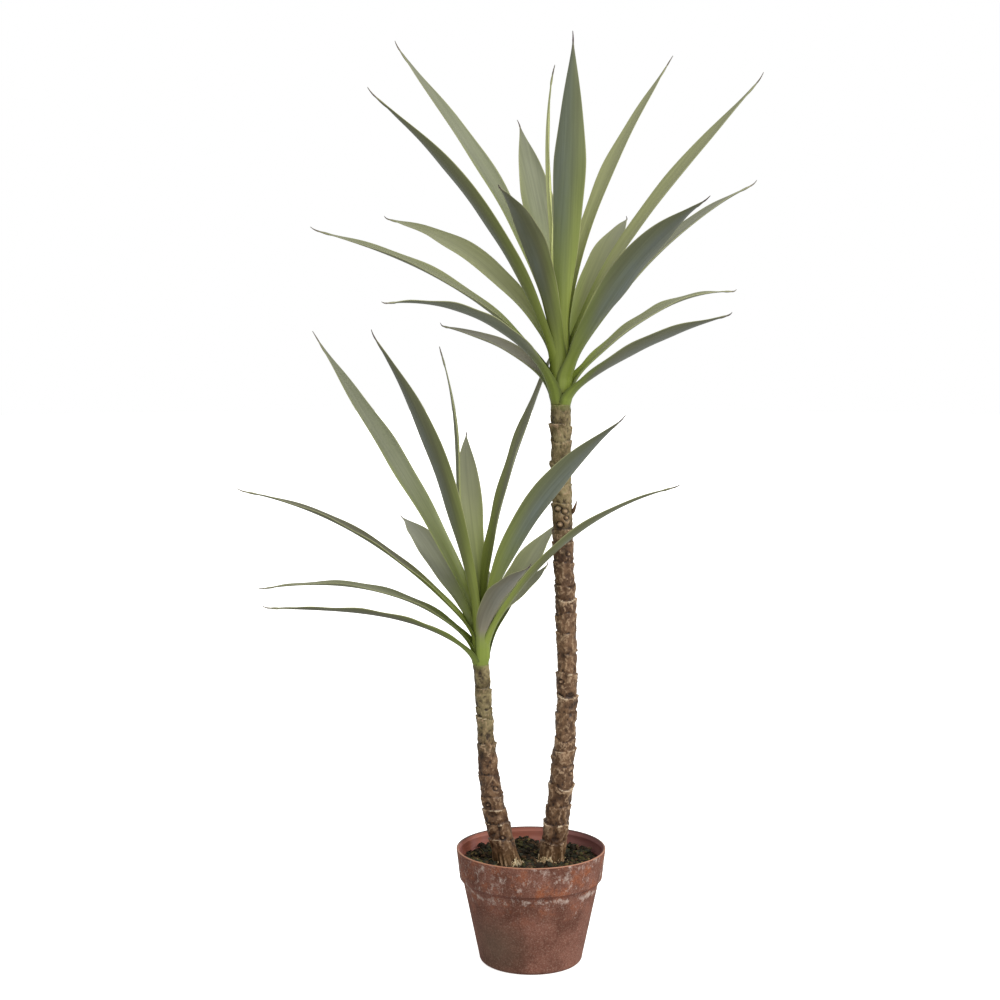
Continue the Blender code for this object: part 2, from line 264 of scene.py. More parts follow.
lime = add(tree, "MapRange", lime, 0.54, 0.70, 0.0, 0.80)
# Painted shadow: a dark line just under the collar's step, where the collar shades the body.
painted_collar_shadow = add(tree, "Math", height, COLLAR_SHADE_HEIGHT, operation="SUBTRACT")
painted_collar_shadow = add(tree, "Math", painted_collar_shadow, operation="ABSOLUTE")
painted_collar_shadow = add(tree, "MapRange", painted_collar_shadow, 0.0026, 0.0006, 0.0, 0.35)
coats = [(rust, "#945435"), (dark_grain, "#4f3328"), (pale_grain, "#a38b7a"), (damp, "#5f5546")]
coats += [(lime, "#c9b7ad"), (painted_collar_shadow, "#642c20")]
finish_coats(tree, shader, ground, coats, grain, strength=0.35, depth=0.0006)

# Moulded polypropylene, as it left the tool: a smooth brick red with a low sheen, faint rings 4 mm apart,
# pale patches of 30 mm that are partly dust and partly painted sheen, painted shade on the inside towards the
# right, and a lip that is darker at the back.
brick_plastic, tree, shader = new_material("moulded_polypropylene", 0.48, ior=1.49)
spot = add(tree, "TexCoord", out="Object")
right, back, height = add(tree, "SeparateXYZ", spot).node.outputs
rings = add(tree, "Mapping", spot, Scale=(6.0, 6.0, 260.0))
rings = add(tree, "TexNoise", rings, Scale=1.0, Detail=2.0)
rings = add(tree, "MapRange", rings, 0.35, 0.65)
ground = add(tree, "Mix", rings, "#a85f4b", "#b97663", data_type="RGBA")
# Pale pinkish patches, partly dust and partly a painted sheen.
dust_and_sheen = add(tree, "TexNoise", spot, Scale=34.0, Detail=4.0)
dust_and_sheen = add(tree, "MapRange", dust_and_sheen, 0.5, 0.72, 0.0, 0.4)
# Painted shade: darker towards the right, on the inner wall that faces away from the light.
painted_shade_on_right = add(tree, "MapRange", right, -0.02, 0.075, 0.0, 0.8)
# The lip is darker at the back.
darker_at_back = add(tree, "MapRange", back, -0.03, 0.04)
lip_tint = add(tree, "Mix", darker_at_back, "#b07a60", "#5f453f", data_type="RGBA")
lip = add(tree, "MapRange", height, 0.1386, 0.1393)
finish_coats(tree, shader, ground, ((dust_and_sheen, "#b38d90"), (painted_shade_on_right, "#835758"), (lip, lip_tint)))

collar_foot = POT_HEIGHT - COLLAR_HEIGHT
inside = [(0.0, POT_WALL), (inner_radius(HEEL_RADIUS), POT_WALL)]
inside += [(inner_radius(level), level) for level in (collar_foot - COLLAR_STEP, collar_foot)]
for band_height in BAND_HEIGHTS[::-1]:
    wide, narrow = BAND_HALVES
    for offset, dent in ((-wide, 0.0), (-narrow, -BAND_DEPTH), (narrow, -BAND_DEPTH), (wide, 0.0)):
        inside.append((inner_radius(band_height + offset) + dent, band_height + offset))
lip_arc = arc((RIM_RADIUS - POT_WALL / 2, POT_HEIGHT - POT_WALL / 2), POT_WALL / 2, 180, 0, 8)
inside = fill_in(inside, 0.008) + lip_arc
outside = fill_in(outer_wall()[1:] + [(0.0, 0.0)], 0.004)
pot_mesh = turned_mesh("clay_look_pot", inside + outside, POT_SIDES, inside_rows=len(inside) - 2)
place_piece("clay_look_pot", pot_mesh, (clay_paint, brick_plastic), "pot_shell", "pot")


# The moss
# A plug of plaster with a skin of dyed reindeer moss and sphagnum crumbs glued over it. The crumbs are
# nearly black with olive and straw ones among them, and short curled fronds stand up between them.

GAP = 0.0003
MOSS_LEVEL = 0.118
MOSS_LUMP = 0.0065
MOSS_MEAN = 0.45  # the mean and the least height of the lumps by their full height
MOSS_LEAST = 0.08
LUMPS_PER_METRE = 55
FINE_LUMP = 0.0022
FINE_PER_METRE = 190
STEM_DIP = (0.001, 0.004)  # how deep and how wide the moss dips round a stem and along the wall
WALL_DIP = (0.002, 0.006)
MOSS_EDGE = 0.0008
MOSS_SKIRT = 0.020
MOSS_SIDES = 120
MOSS_RINGS = 44
CRUMBS = 4200
CRUMB_SIZES = (0.0010, 0.0042)
FRONDS = 1500
FROND_STEPS = 4
MOSS_SEED = 21

Stem = namedtuple(
    "Stem", "foot top height bow sway foot_radius top_radius settle olive wash rings eyes knobs"
)
# Foot and top are places on the ground plane, settle is the share of the height by which a stem has
# thinned, olive how far below its top it turns from olive to brown, and the field after olive how much
# painted
# shade, as cast by the stem's crown, darkens its bark. In millimetres and degrees to the right of the front:
# the heights of the leaf scars, then (height, degrees, half width) of the round bud scars, and (height,
# degrees, half width, how proud) of the knobs.
STEMS = {
    "tall": Stem(
        foot=(0.024, 0.002), top=(0.034, 0.002), height=0.675, bow=0.013, sway=0.004,
        foot_radius=0.0150, top_radius=0.0116, settle=0.42, olive=0.140, wash=0.0,
        rings=(
            148, 170, 192, 218, 240, 261, 273, 306, 327, 353, 376, 404, 425, 444, 460, 488, 511, 527, 557,
            578, 609, 633, 651,
        ),
        eyes=(
            (552, -30, 3.5), (549, 14, 3.2), (541, 24, 2.4), (533, -20, 3.5), (498, 30, 2.6), (430, 140, 3.0),
            (344, -40, 2.4), (286, 200, 3.4), (232, 48, 2.6), (464, 250, 3.0), (380, 100, 2.8),
            (180, 160, 3.0),
        ),
        knobs=((604, -88, 4.5, 1.8), (470, 172, 3.5, 1.6), (318, 96, 3.5, 1.4), (250, -96, 4.0, 1.6)),
    ),
    "short": Stem(
        foot=(-0.027, -0.004), top=(-0.060, -0.010), height=0.366, bow=-0.008, sway=-0.0015,
        foot_radius=0.0148, top_radius=0.0093, settle=0.80, olive=0.092, wash=0.16,
        rings=(152, 172, 189, 206, 230, 270, 302, 313, 338),
        eyes=(
            (156, 10, 2.2), (216, 30, 2.4), (196, -30, 2.2), (250, 160, 2.6), (284, 210, 2.2),
            (180, 120, 2.4),
        ),
        knobs=((232, -90, 3.5, 1.4), (209, 88, 3.5, 1.5), (262, 130, 3.5, 1.4)),
    ),
}


def moss_height(x, y):
    lumps = noise.fractal(Vector((x, y, 0.3)) * LUMPS_PER_METRE, 1.0, 2.0, 3)
    return MOSS_LEVEL + MOSS_LUMP * max(MOSS_LEAST, MOSS_MEAN + lumps)


def moss_top(x, y):
    """The moss with its finer lumps, sunk round each stem and along the wall."""
    top = moss_height(x, y) + FINE_LUMP * noise.fractal(Vector((x, y, 0.7)) * FINE_PER_METRE, 1.0, 2.0, 3)
    for stem in STEMS.values():
        away = math.hypot(x - stem.foot[0], y - stem.foot[1]) - stem.foot_radius
        top = between(MOSS_LEVEL - STEM_DIP[0], top, smooth_step(away / STEM_DIP[1]))
    away = inner_radius(MOSS_LEVEL) - math.hypot(x, y)
    return min(top, between(MOSS_LEVEL - WALL_DIP[0], top, smooth_step(away / WALL_DIP[1])))


moss_outline = inner_radius(MOSS_LEVEL - MOSS_SKIRT / 4) - MOSS_EDGE
moss_places = [(0.0, 0.0, moss_top(0, 0))]
for row in range(1, MOSS_RINGS + 1):
    for x, y, _ in ring(moss_outline * row / MOSS_RINGS, 0.0, MOSS_SIDES):
        moss_places.append((x, y, moss_top(x, y)))
skirt_level = MOSS_LEVEL - MOSS_SKIRT
moss_places += ring(inner_radius(skirt_level) - MOSS_EDGE, skirt_level, MOSS_SIDES)
moss_faces = [(0, 1 + i, 1 + (i + 1) % MOSS_SIDES) for i in range(MOSS_SIDES)]
for row in range(MOSS_RINGS):
    for i in range(MOSS_SIDES):
        a, b = 1 + row * MOSS_SIDES + i, 1 + row * MOSS_SIDES + (i + 1) % MOSS_SIDES
        moss_faces.append((a, a + MOSS_SIDES, b + MOSS_SIDES, b))
moss_faces.append([1 + MOSS_RINGS * MOSS_SIDES + i for i in range(MOSS_SIDES)][::-1])

# Dyed moss felt: almost black, since the fibres trap light, with olive on its tufts of 4 mm.
moss_felt, tree, shader = new_material("dyed_moss_felt", 0.95, specular=0.15)
spot = add(tree, "TexCoord", out="Object")
felt = add(tree, "TexNoise", spot, Scale=240.0, Detail=5.0, Roughness=0.7)
olive = add(tree, "MapRange", felt, 0.5, 0.7)
ground = add(tree, "Mix", olive, "#221b13", "#3f3826", data_type="RGBA")
finish_coats(tree, shader, ground, (), felt, strength=0.8, depth=0.002)
moss_mesh = build_mesh("moss_bed", moss_places, moss_faces)
place_piece("moss_bed", moss_mesh, (moss_felt,), "moss_fill", "moss")


def fibre_material(name, colour, roughness, specular, scale, strength, depth):
    """A batch of dyed or dried fibre: one plain colour, with its fibres in relief."""
    material, tree, shader = new_material(name, roughness, specular=specular)
    shader.inputs["Base Color"].default_value = linear(colour)
    spot = add(tree, "TexCoord", out="Object")
    fibre = add(tree, "TexNoise", spot, Scale=scale, Detail=2.0)
    bump = add(tree, "Bump", Strength=strength, Distance=depth, Height=fibre)
    tree.links.new(bump, shader.inputs["Normal"])
    return material


# Dyed moss, one plain colour for each batch and its share of the crumbs: dull and dry, with fibres 0.7 mm
# apart.
MOSS_BATCHES = (
    ("moss_dyed_black", "#2a231a", 0.38),
    ("moss_dyed_bottle", "#35352a", 0.22),
    ("moss_dyed_olive", "#4a472a", 0.20),
    ("moss_dyed_brown", "#503d2b", 0.17),
    ("moss_dyed_straw", "#7a6b45", 0.03),
)
moss_batches = [fibre_material(name, dye_and_painted_light, 0.9, 0.2, 1400.0, 0.5, 0.0006) for name, dye_and_painted_light, _ in MOSS_BATCHES]

rule = random.Random(MOSS_SEED)


def pick_batch():
    """A batch of moss, drawn by its share."""
    left = rule.random()
    for batch, (_, _, share) in enumerate(MOSS_BATCHES):
        left -= share
        if left < 0:
            return batch
    return 0


def moss_spot(margin):
    """A place on the moss that is clear of the stems and of the wall."""
    while True:
        away = (inner_radius(MOSS_LEVEL) - margin) * math.sqrt(rule.random())
        turn = rule.uniform(0, 2 * math.pi)
        x, y = away * math.cos(turn), away * math.sin(turn)
        gaps = [math.hypot(x - s.foot[0], y - s.foot[1]) - s.foot_radius for s in STEMS.values()]
        if min(gaps) > 0.001:
            return x, y


GOLDEN = (1 + math.sqrt(5)) / 2
CRUMB_POINTS = [Vector(p).normalized() for p in (
    (-1, GOLDEN, 0), (1, GOLDEN, 0), (-1, -GOLDEN, 0), (1, -GOLDEN, 0), (0, -1, GOLDEN), (0, 1, GOLDEN),
    (0, -1, -GOLDEN), (0, 1, -GOLDEN), (GOLDEN, 0, -1), (GOLDEN, 0, 1), (-GOLDEN, 0, -1), (-GOLDEN, 0, 1),
)]
CRUMB_FACES = (
    (0, 11, 5), (0, 5, 1), (0, 1, 7), (0, 7, 10), (0, 10, 11), (1, 5, 9), (5, 11, 4), (11, 10, 2), (10, 7, 6),
    (7, 1, 8), (3, 9, 4), (3, 4, 2), (3, 2, 6), (3, 6, 8), (3, 8, 9), (4, 9, 5), (2, 4, 11), (6, 2, 10),
    (8, 6, 7), (9, 8, 1),
)

crumb_places, crumb_faces, crumb_slots = [], [], []
for _ in range(CRUMBS):
    size = rule.uniform(*CRUMB_SIZES)
    x, y = moss_spot(0.002 + size)
    centre = Vector((x, y, moss_top(x, y) + size * rule.uniform(0.0, 0.7)))
    turn = rule.uniform(0, 6.3)
    turn = Matrix.Rotation(turn, 3, Vector((rule.gauss(0, 1), rule.gauss(0, 1), rule.gauss(0, 1))))
    stretch = Vector((rule.uniform(0.8, 1.5), rule.uniform(0.5, 1.0), rule.uniform(0.4, 0.8)))
    first = len(crumb_places)
    for point in CRUMB_POINTS:
        crumb_places.append(centre + turn @ (point * stretch) * size * rule.uniform(0.7, 1.25))
    crumb_faces += [[first + i for i in face] for face in CRUMB_FACES]
    crumb_slots += [pick_batch()] * len(CRUMB_FACES)
crumb_mesh = build_mesh("moss_crumbs", crumb_places, crumb_faces, crumb_slots, smooth=False)
place_piece("moss_crumbs", crumb_mesh, moss_batches, "moss_fill")


def tube_faces(rings, sides, first=0):
    """The faces of a tube, ring upon ring from its first point on, closed at both ends."""
    faces = []
    for row in range(rings - 1):
        for i in range(sides):
            a, b = first + row * sides + i, first + row * sides + (i + 1) % sides
            faces.append((a, b, b + sides, a + sides))
    last = first + (rings - 1) * sides
    return faces + [[first + i for i in range(sides)][::-1], [last + i for i in range(sides)]]


def add_strand(places, faces, line, radii, sides):
    """Adds a thin tapering tube along a line, and gives its number of faces."""
    first = len(places)
    for i, point in enumerate(line):
        along = (line[min(i + 1, len(line) - 1)] - line[max(i - 1, 0)]).normalized()
        across = along.cross(Vector((0.3, 0.2, 0.93))).normalized()
        face = along.cross(across)
        for j in range(sides):
            turn = 2 * math.pi * j / sides
            places.append(point + radii[i] * (across * math.cos(turn) + face * math.sin(turn)))
    made = tube_faces(len(line), sides, first)
    faces += made
    return len(made)


frond_places, frond_faces, frond_slots = [], [], []
for _ in range(FRONDS):
    x, y = moss_spot(0.006)
    line = [Vector((x, y, moss_top(x, y) - 0.0005))]
    way = Vector((rule.gauss(0, 1), rule.gauss(0, 1), rule.uniform(0.4, 1.6))).normalized()
    step = rule.uniform(0.0008, 0.0018)
    for _ in range(FROND_STEPS):
        line.append(line[-1] + way * step)
        way = (way + Vector((rule.gauss(0, 0.5), rule.gauss(0, 0.5), rule.gauss(-0.15, 0.4)))).normalized()
    thick = rule.uniform(0.0003, 0.0006)
    radii = [thick * between(1.0, 0.5, i / FROND_STEPS) for i in range(FROND_STEPS + 1)]
    frond_slots += [pick_batch()] * add_strand(frond_places, frond_faces, line, radii, 3)
frond_mesh = build_mesh("moss_fronds", frond_places, frond_faces, frond_slots)
place_piece("moss_fronds", frond_mesh, moss_batches, "moss_fill")


# The stems
# Two canes of polyurethane foam skin moulded over a steel rod, from a cast of a real yucca cane. Each
# length of bark widens up to a leaf scar and steps back in above it. They are brown, brushed with tan, and
# olive near the top.

BARK_SIDES = 104
BARK_ROW = 0.0011
FOOT_FLARE = 0.0015
FLARE_REACH = 0.008
SCAR_CREST = 0.0018  # how far the lip of a scar stands out, and how far the bark steps in above it
SCAR_DIP = 0.0011
LIP_REACH = 0.0080  # how far down the lip runs out, how far up the step, and how wide the lip is rubbed
STEP_REACH = 0.0020
RUB_REACH = 0.0013
LIP_MEAN = 0.62  # how strong the lip of a scar is on average, how much that varies round it, and its limits
LIP_VARIES = 2.2
LIP_LIMITS = (0.05, 1.4)
WRINKLE = 0.0009
WRINKLE_SHARES = (0.6, 0.4)  # of the coarse and of the fine net of wrinkles, and their meshes to a metre
WRINKLES_PER_METRE = (120, 290)
LUMP = 0.0011
BARK_LUMPS_PER_METRE = 75
YOUNG_FROM = 0.72  # shares of the height between which the bark smooths, and how rough it stays
YOUNG_BY = 0.92
YOUNG_ROUGH = 0.75
STRANDS_TOP = 0.026  # the frayed bark at the foot: its height, how it fades and how deep it is
STRANDS_FADE = 0.022
STRANDS_DEPTH = 3.0
EYE_STRETCH = 1.25  # a bud scar's width by its height, its swell, and its groove's place and width
EYE_SWELL = 0.0005
GROOVE_DEPTH = 0.0006
GROOVE_AT = 1.15
GROOVE_WIDTH = 0.3
BARK_SEED = 5


def stem_centre(stem, share):
    """A point of the stem's centre line at a share of its height."""
    x = between(stem.foot[0], stem.top[0], share)
    x += stem.bow * math.sin(math.pi * share) + stem.sway * math.sin(2 * math.pi * share)
    y = between(stem.foot[1], stem.top[1], share)
    return Vector((x, y, between(MOSS_LEVEL + GAP, stem.height, share)))


def stem_radius(stem, share):
    return between(stem.foot_radius, stem.top_radius, smooth_step(share / stem.settle))


def front_angle(degrees):
    """Degrees to the right of the front as an angle about the Z axis."""
    return math.radians(degrees - 90)


def ridges(place, scale, shift):
    """1 along the crests of a net of ridges, falling towards -1 between them."""
    flattened = Vector((place.x, place.y, place.z * 0.7))
    return 1 - 3.6 * abs(noise.noise(flattened * scale + Vector((shift, 0, 0))))


def round_bark(radius, turn, degrees):
    """How far round the bark an angle lies from a bearing."""
    return radius * ((turn - front_angle(degrees) + math.pi) % (2 * math.pi) - math.pi)


def scar_levels(stem):
    """The scars' heights, leans and their bearings, waves and their phases, and strengths."""
    rule = random.Random(BARK_SEED + len(stem.rings))
    levels = [(MOSS_LEVEL + GAP - 0.03, 0, 0, 0, 0, 0)]
    for level in stem.rings:
        scar = (level / 1000, rule.uniform(0.03, 0.24), rule.uniform(0, 6.3), rule.uniform(0.0004, 0.0018))
        levels.append((*scar, rule.uniform(0, 6.3), rule.uniform(0.65, 1.35)))
    levels.append((stem.height + 0.02, 0, 0, 0, 0, 0.6))
    return np.array(levels).T


def lip_strength(scar, turn):
    """How strong the lip above a scar is at an angle, worn away here and there."""
    worn = noise.noise(Vector((math.cos(turn), math.sin(turn), 3.7 * scar)) * 1.9)
    return min(LIP_LIMITS[1], max(LIP_LIMITS[0], LIP_MEAN + LIP_VARIES * worn))


def bark_wrinkle(place, scar, turn, rough, frayed):
    """How far the wrinkles stand out at a place, which give way to upright strands at the foot."""
    coarse = ridges(place, WRINKLES_PER_METRE[0], 3.1 * scar)
    fine = ridges(place, WRINKLES_PER_METRE[1], 7.7)
    strands = noise.noise(Vector((turn * 5.5, place.z * 45, 4.0 + scar * 0.2)))
    wrinkle = (WRINKLE_SHARES[0] * coarse + WRINKLE_SHARES[1] * fine) * rough
    return between(wrinkle, STRANDS_DEPTH * strands, frayed)


def bud_scars(stem, height, radius, turn, wrinkle):
    """How far the round bud scars and the knobs swell the bark at a place, and the wrinkle they leave."""
    swell = 0.0
    for level, degrees, half in stem.eyes:
        across = round_bark(radius, turn, degrees) / EYE_STRETCH
        away = math.hypot(across, height - level / 1000) * 1000 / half
        if away < 2:
            groove = math.exp(-(((away - GROOVE_AT) / GROOVE_WIDTH) ** 2))
            swell += EYE_SWELL * math.exp(-2.5 * away * away) - GROOVE_DEPTH * groove
            eye = 1.7 * math.exp(-3 * away * away) - 1.7 * groove
            wrinkle = between(wrinkle, eye, math.exp(-((away / 1.6) ** 4)))
    for level, degrees, half, tall in stem.knobs:
        away = math.hypot(round_bark(radius, turn, degrees), height - level / 1000) * 1000 / half
        swell += tall / 1000 * math.exp(-2 * away * away)
    return swell, wrinkle


def tube_corners(edges, levels):
    """The unwrapped corners of a tube's sides, between the edges and the levels."""
    corners = []
    for low, high in zip(levels, levels[1:]):
        for left, right in zip(edges, edges[1:]):
            corners += [(left, low), (right, low), (right, high), (left, high)]
    return corners


def bark_mesh(name, stem):
    """The cane's skin with its scars, wrinkles, bud scars and knobs, as one fine net of points."""
    heights, leans, turns, waves, phases, proud = scar_levels(stem)
    low = MOSS_LEVEL + GAP
    rows = math.ceil((stem.height - low) / BARK_ROW)
    places, relief_and_shade, crest, aged = [], [], [], []
    for row in range(rows + 1):
        share = row / rows
        centre = stem_centre(stem, share)
        radius = stem_radius(stem, share)
        rough = between(1.0, YOUNG_ROUGH, smooth_step((share - YOUNG_FROM) / (YOUNG_BY - YOUNG_FROM)))
        frayed = smooth_step((STRANDS_TOP - (centre.z - low)) / STRANDS_FADE)
        for i in range(BARK_SIDES):
            turn = 2 * math.pi * i / BARK_SIDES
            out = Vector((math.cos(turn), math.sin(turn), 0))
            place = centre + out * radius
            lift = radius * leans * np.cos(turn - turns) + waves * np.sin(2 * turn + phases)
            here = heights + lift + 0.6 * waves * np.sin(3 * turn + 2 * phases)
            k = int(np.clip(np.searchsorted(here, centre.z) - 1, 0, len(here) - 2))
            above, below = here[k + 1] - centre.z, centre.z - here[k]
            strength = proud[k + 1] * lip_strength(k, turn)
            lip = math.exp(-above / LIP_REACH) * strength
            ledge = math.exp(-below / STEP_REACH) * min(1.0, proud[k] + 0.3)
            lump = noise.noise(place * BARK_LUMPS_PER_METRE + Vector((0, 0, 1.7 * k)))
            wrinkle = bark_wrinkle(place, k, turn, rough, frayed)
            swell, wrinkle = bud_scars(stem, centre.z, radius, turn, wrinkle)
            grown = radius + SCAR_CREST * lip - SCAR_DIP * ledge + WRINKLE * wrinkle + LUMP * rough * lump
            grown += swell + FOOT_FLARE * math.exp(-(centre.z - low) / FLARE_REACH)
            places.append(centre + out * grown)
            # The bark's relief for its paint, with painted shade taken off in the step above each scar and,
            # on the short cane, under its crown.
            relief_and_shade.append(0.8 * (wrinkle - ledge) + 0.35 * lip - stem.wash)
            crest.append(math.exp(-((above / RUB_REACH) ** 2)) * max(0.0, strength - 0.25))
            aged.append((stem.height - centre.z) / stem.olive)
    edges = [0.9 * i / BARK_SIDES for i in range(BARK_SIDES + 1)]
    corners = tube_corners(edges, [row / rows for row in range(rows + 1)])
    for middle, order in ((0.2, -1), (0.7, 1)):
        for i in range(BARK_SIDES)[::order]:
            turn = 2 * math.pi * i / BARK_SIDES
            corners.append((0.95 + 0.04 * math.cos(turn), middle + 0.04 * math.sin(turn)))
    data = build_mesh(name, places, tube_faces(rows + 1, BARK_SIDES))
    set_unwrap(data, corners)
    for attribute, values in (("relief_and_shade", relief_and_shade), ("crest", crest), ("aged", aged)):
        set_attribute(data, attribute, "FLOAT", values)
    return data


# Painted polyurethane foam: a brown wash lies dark in the wrinkles, tan is brushed over what stands proud,
# and the lip of each scar is rubbed pale. The dark brown is also painted shade, in the step just above each
# scar and over the short cane's bark where its crown shades it. The skin has a slight waxy shine, clouds of
# 17 mm and flecks of 2 to 3 mm. Aged is 0 at the top, where the bark is green, and 1 where olive has turned
# to brown.
EASED = {"interpolation_type": "SMOOTHSTEP"}

bark_paint, tree, shader = new_material("painted_foam_bark", 0.50, specular=0.35)
spot = add(tree, "TexCoord", out="Object")
height = add(tree, "SeparateXYZ", spot, out="Z")
relief_and_shade = add(tree, "Attribute", out="Fac", attribute_name="relief_and_shade")
crest = add(tree, "Attribute", out="Fac", attribute_name="crest")
aged = add(tree, "Attribute", out="Fac", attribute_name="aged")
cloud = add(tree, "TexNoise", spot, Scale=60.0, Detail=5.0, Roughness=0.65)
fleck = add(tree, "TexNoise", spot, Scale=420.0, Detail=4.0, Roughness=0.7)
cloud_share = add(tree, "MapRange", cloud, 0.40, 0.60)
brown = add(tree, "Mix", cloud_share, "#4e3522", "#795c42", data_type="RGBA")
olive = add(tree, "Mix", cloud_share, "#5f5234", "#958761", data_type="RGBA")
wander = add(tree, "MapRange", cloud, 0.3, 0.7, -0.2, 0.2)
young = add(tree, "Math", aged, wander, operation="ADD")
young = add(tree, "MapRange", young, 1.2, 0.8)
ground = add(tree, "Mix", young, brown, olive, data_type="RGBA")
flecked = add(tree, "Math", fleck, 0.5, operation="SUBTRACT")
flecked = add(tree, "Math", flecked, 2.2, operation="MULTIPLY")
relief = add(tree, "Math", relief_and_shade, flecked, operation="ADD")
# Dark brown: the wash in the wrinkles, and painted shade in the steps and under the short cane's crown.
wash_and_painted_shade = add(tree, "MapRange", relief, -0.10, -0.80, 0.0, 0.90)
proud = add(tree, "MapRange", relief, 0.32, 0.85, 0.0, 0.85)
crest = add(tree, "Math", crest, fleck, operation="MULTIPLY")
crest = add(tree, "MapRange", crest, 0.22, 0.50, 0.0, 0.80)
foot = add(tree, "MapRange", height, 0.150, 0.128, 0.0, 0.20)
green = add(tree, "Math", wander, 0.15, operation="MULTIPLY")
green = add(tree, "Math", aged, green, operation="ADD")
green = add(tree, "MapRange", green, 0.060, -0.015, 0.0, 0.7, **EASED)
coats = ((wash_and_painted_shade, "#28180f"), (proud, "#b5987a"), (crest, "#cfbb9f"), (foot, "#7d6238"), (green, "#737b40"))
finish_coats(tree, shader, ground, coats, fleck, strength=0.5, depth=0.0006)
for name, stem in STEMS.items():
    place_piece("bark_" + name, bark_mesh("bark_" + name, stem), (bark_paint,), "bark", "stem_" + name)

# The scale of a bud that never opened, on the right of the tall cane, curled up from the bark to a point.
SCALE_HEIGHT = 0.545
SCALE_DEGREES = 84
# Its middle line, out from the bark and up, and its thickness along that line.
SCALE_OUT = (-0.0010, 0.0014, 0.0030, 0.0046, 0.0058)
SCALE_UP = (0.0, 0.0030, 0.0070, 0.0115, 0.0160)
SCALE_THICK = (0.0020, 0.0022, 0.0018, 0.0011, 0.0003)

stem = STEMS["tall"]
share = (SCALE_HEIGHT - MOSS_LEVEL - GAP) / (stem.height - MOSS_LEVEL - GAP)
root, turn = stem_centre(stem, share), front_angle(SCALE_DEGREES)
out = Vector((math.cos(turn), math.sin(turn), 0))
line = [root + out * (stem_radius(stem, share) + a) + Vector((0, 0, b)) for a, b in zip(SCALE_OUT, SCALE_UP)]
scale_places, scale_faces = [], []
add_strand(scale_places, scale_faces, line, SCALE_THICK, 8)
scale_mesh = build_mesh("bud_scale", scale_places, scale_faces)
for attribute, value in (("relief_and_shade", -0.3), ("crest", 0.0), ("aged", 1.2)):
    set_attribute(scale_mesh, attribute, "FLOAT", [value] * len(scale_places))
place_piece("bud_scale", scale_mesh, (bark_paint,), "bark")


# The straw
# Frayed strands of raffia that are glued round the foot of each stem to hide its joint with the plaster.
# They run down the bark and curl out over the moss, most of them in a tuft at the front.

STRAW_SEED = 33
STRAW_TUFTS = {"tall": (80, -24), "short": (34, 48)}  # strands, and the tuft's degrees from the front
STRAW_POINTS = 9
STRAW_CLEAR = 0.0012
STRAW_LOW = 0.0035  # above the moss level, where a strand leaves the bark
STRAW_DOWN_BY = 1 / 1.7  # shares of a strand's length by which it is down, and from which it runs out
STRAW_OUT_FROM = 0.55
STRAW_HUMP = 0.004
STRAW_WIGGLE = 0.0016

# Raffia, a dried palm leaf split into strips: pale gold, with fibres 1 mm apart and a soft shine.
RAFFIA = (("raffia_gold", "#c9b088"), ("raffia_pale", "#dccfae"), ("raffia_brown", "#84694a"))
straws = [fibre_material(name, colour, 0.55, 0.4, 900.0, 0.4, 0.0003) for name, colour in RAFFIA]

rule = random.Random(STRAW_SEED)
for name, (count, front) in STRAW_TUFTS.items():
    stem = STEMS[name]
    straw_places, straw_faces, straw_slots = [], [], []
    for i in range(count):
        degrees = rule.gauss(front, 15) if i % 4 else rule.uniform(-180, 180)
        turn = front_angle(degrees)
        out = Vector((math.cos(turn), math.sin(turn), 0))
        side = Vector((-out.y, out.x, 0))
        top = rule.uniform(0.002, 0.013)
        curl = rule.uniform(0.001, 0.006)
        swing = rule.uniform(-0.007, 0.007)
        line = []
        for k in range(STRAW_POINTS):
            t = k / (STRAW_POINTS - 1)
            level = between(top, STRAW_LOW, min(1.0, t / STRAW_DOWN_BY))
            centre = stem_centre(stem, level / (stem.height - MOSS_LEVEL))
            past = max(0.0, t - STRAW_OUT_FROM) / (1 - STRAW_OUT_FROM)
            away = stem.foot_radius + STRAW_CLEAR + FOOT_FLARE * math.exp(-level / FLARE_REACH) + curl * past
            lift = STRAW_HUMP * math.sin(math.pi * past) * rule.uniform(0.6, 1.2)
            across = swing * t + STRAW_WIGGLE * math.sin(6 * t + degrees)
            line.append(centre + out * away + side * across + Vector((0, 0, lift - 0.001 * past)))
        thick = rule.uniform(0.0003, 0.0006)
        radii = [thick * between(1.0, 0.55, k / (STRAW_POINTS - 1)) for k in range(STRAW_POINTS)]
        batch = rule.choice((0, 0, 1, 2))
        straw_slots += [batch] * add_strand(straw_places, straw_faces, line, radii, 5)
    straw_mesh = build_mesh("straw_" + name, straw_places, straw_faces, straw_slots)
    place_piece("straw_" + name, straw_mesh, straws, "bark")


# The hearts
# The green bud at the top of each stem, moulded from the same soft plastic as the leaves. It is rolled from
# young leaves whose edges wind up it, and the grown leaves are pushed onto it one above the other.

Heart = namedtuple("Heart", "height belly first_seat last_seat")
HEARTS = {"tall": Heart(0.094, 0.0132, 0.009, 0.078), "short": Heart(0.076, 0.0100, 0.008, 0.062)}
HEART_BELLY_AT = 0.22
HEART_OUTLINE = ((0.92, 0.30), (0.76, 0.62), (0.42, 0.94))
HEART_SIDES = 72
HEART_ROWS = 70
HEART_FOLD = 0.0011
FOLDS = 3
FOLD_CLIMB = 34  # how many folds wind past in a metre


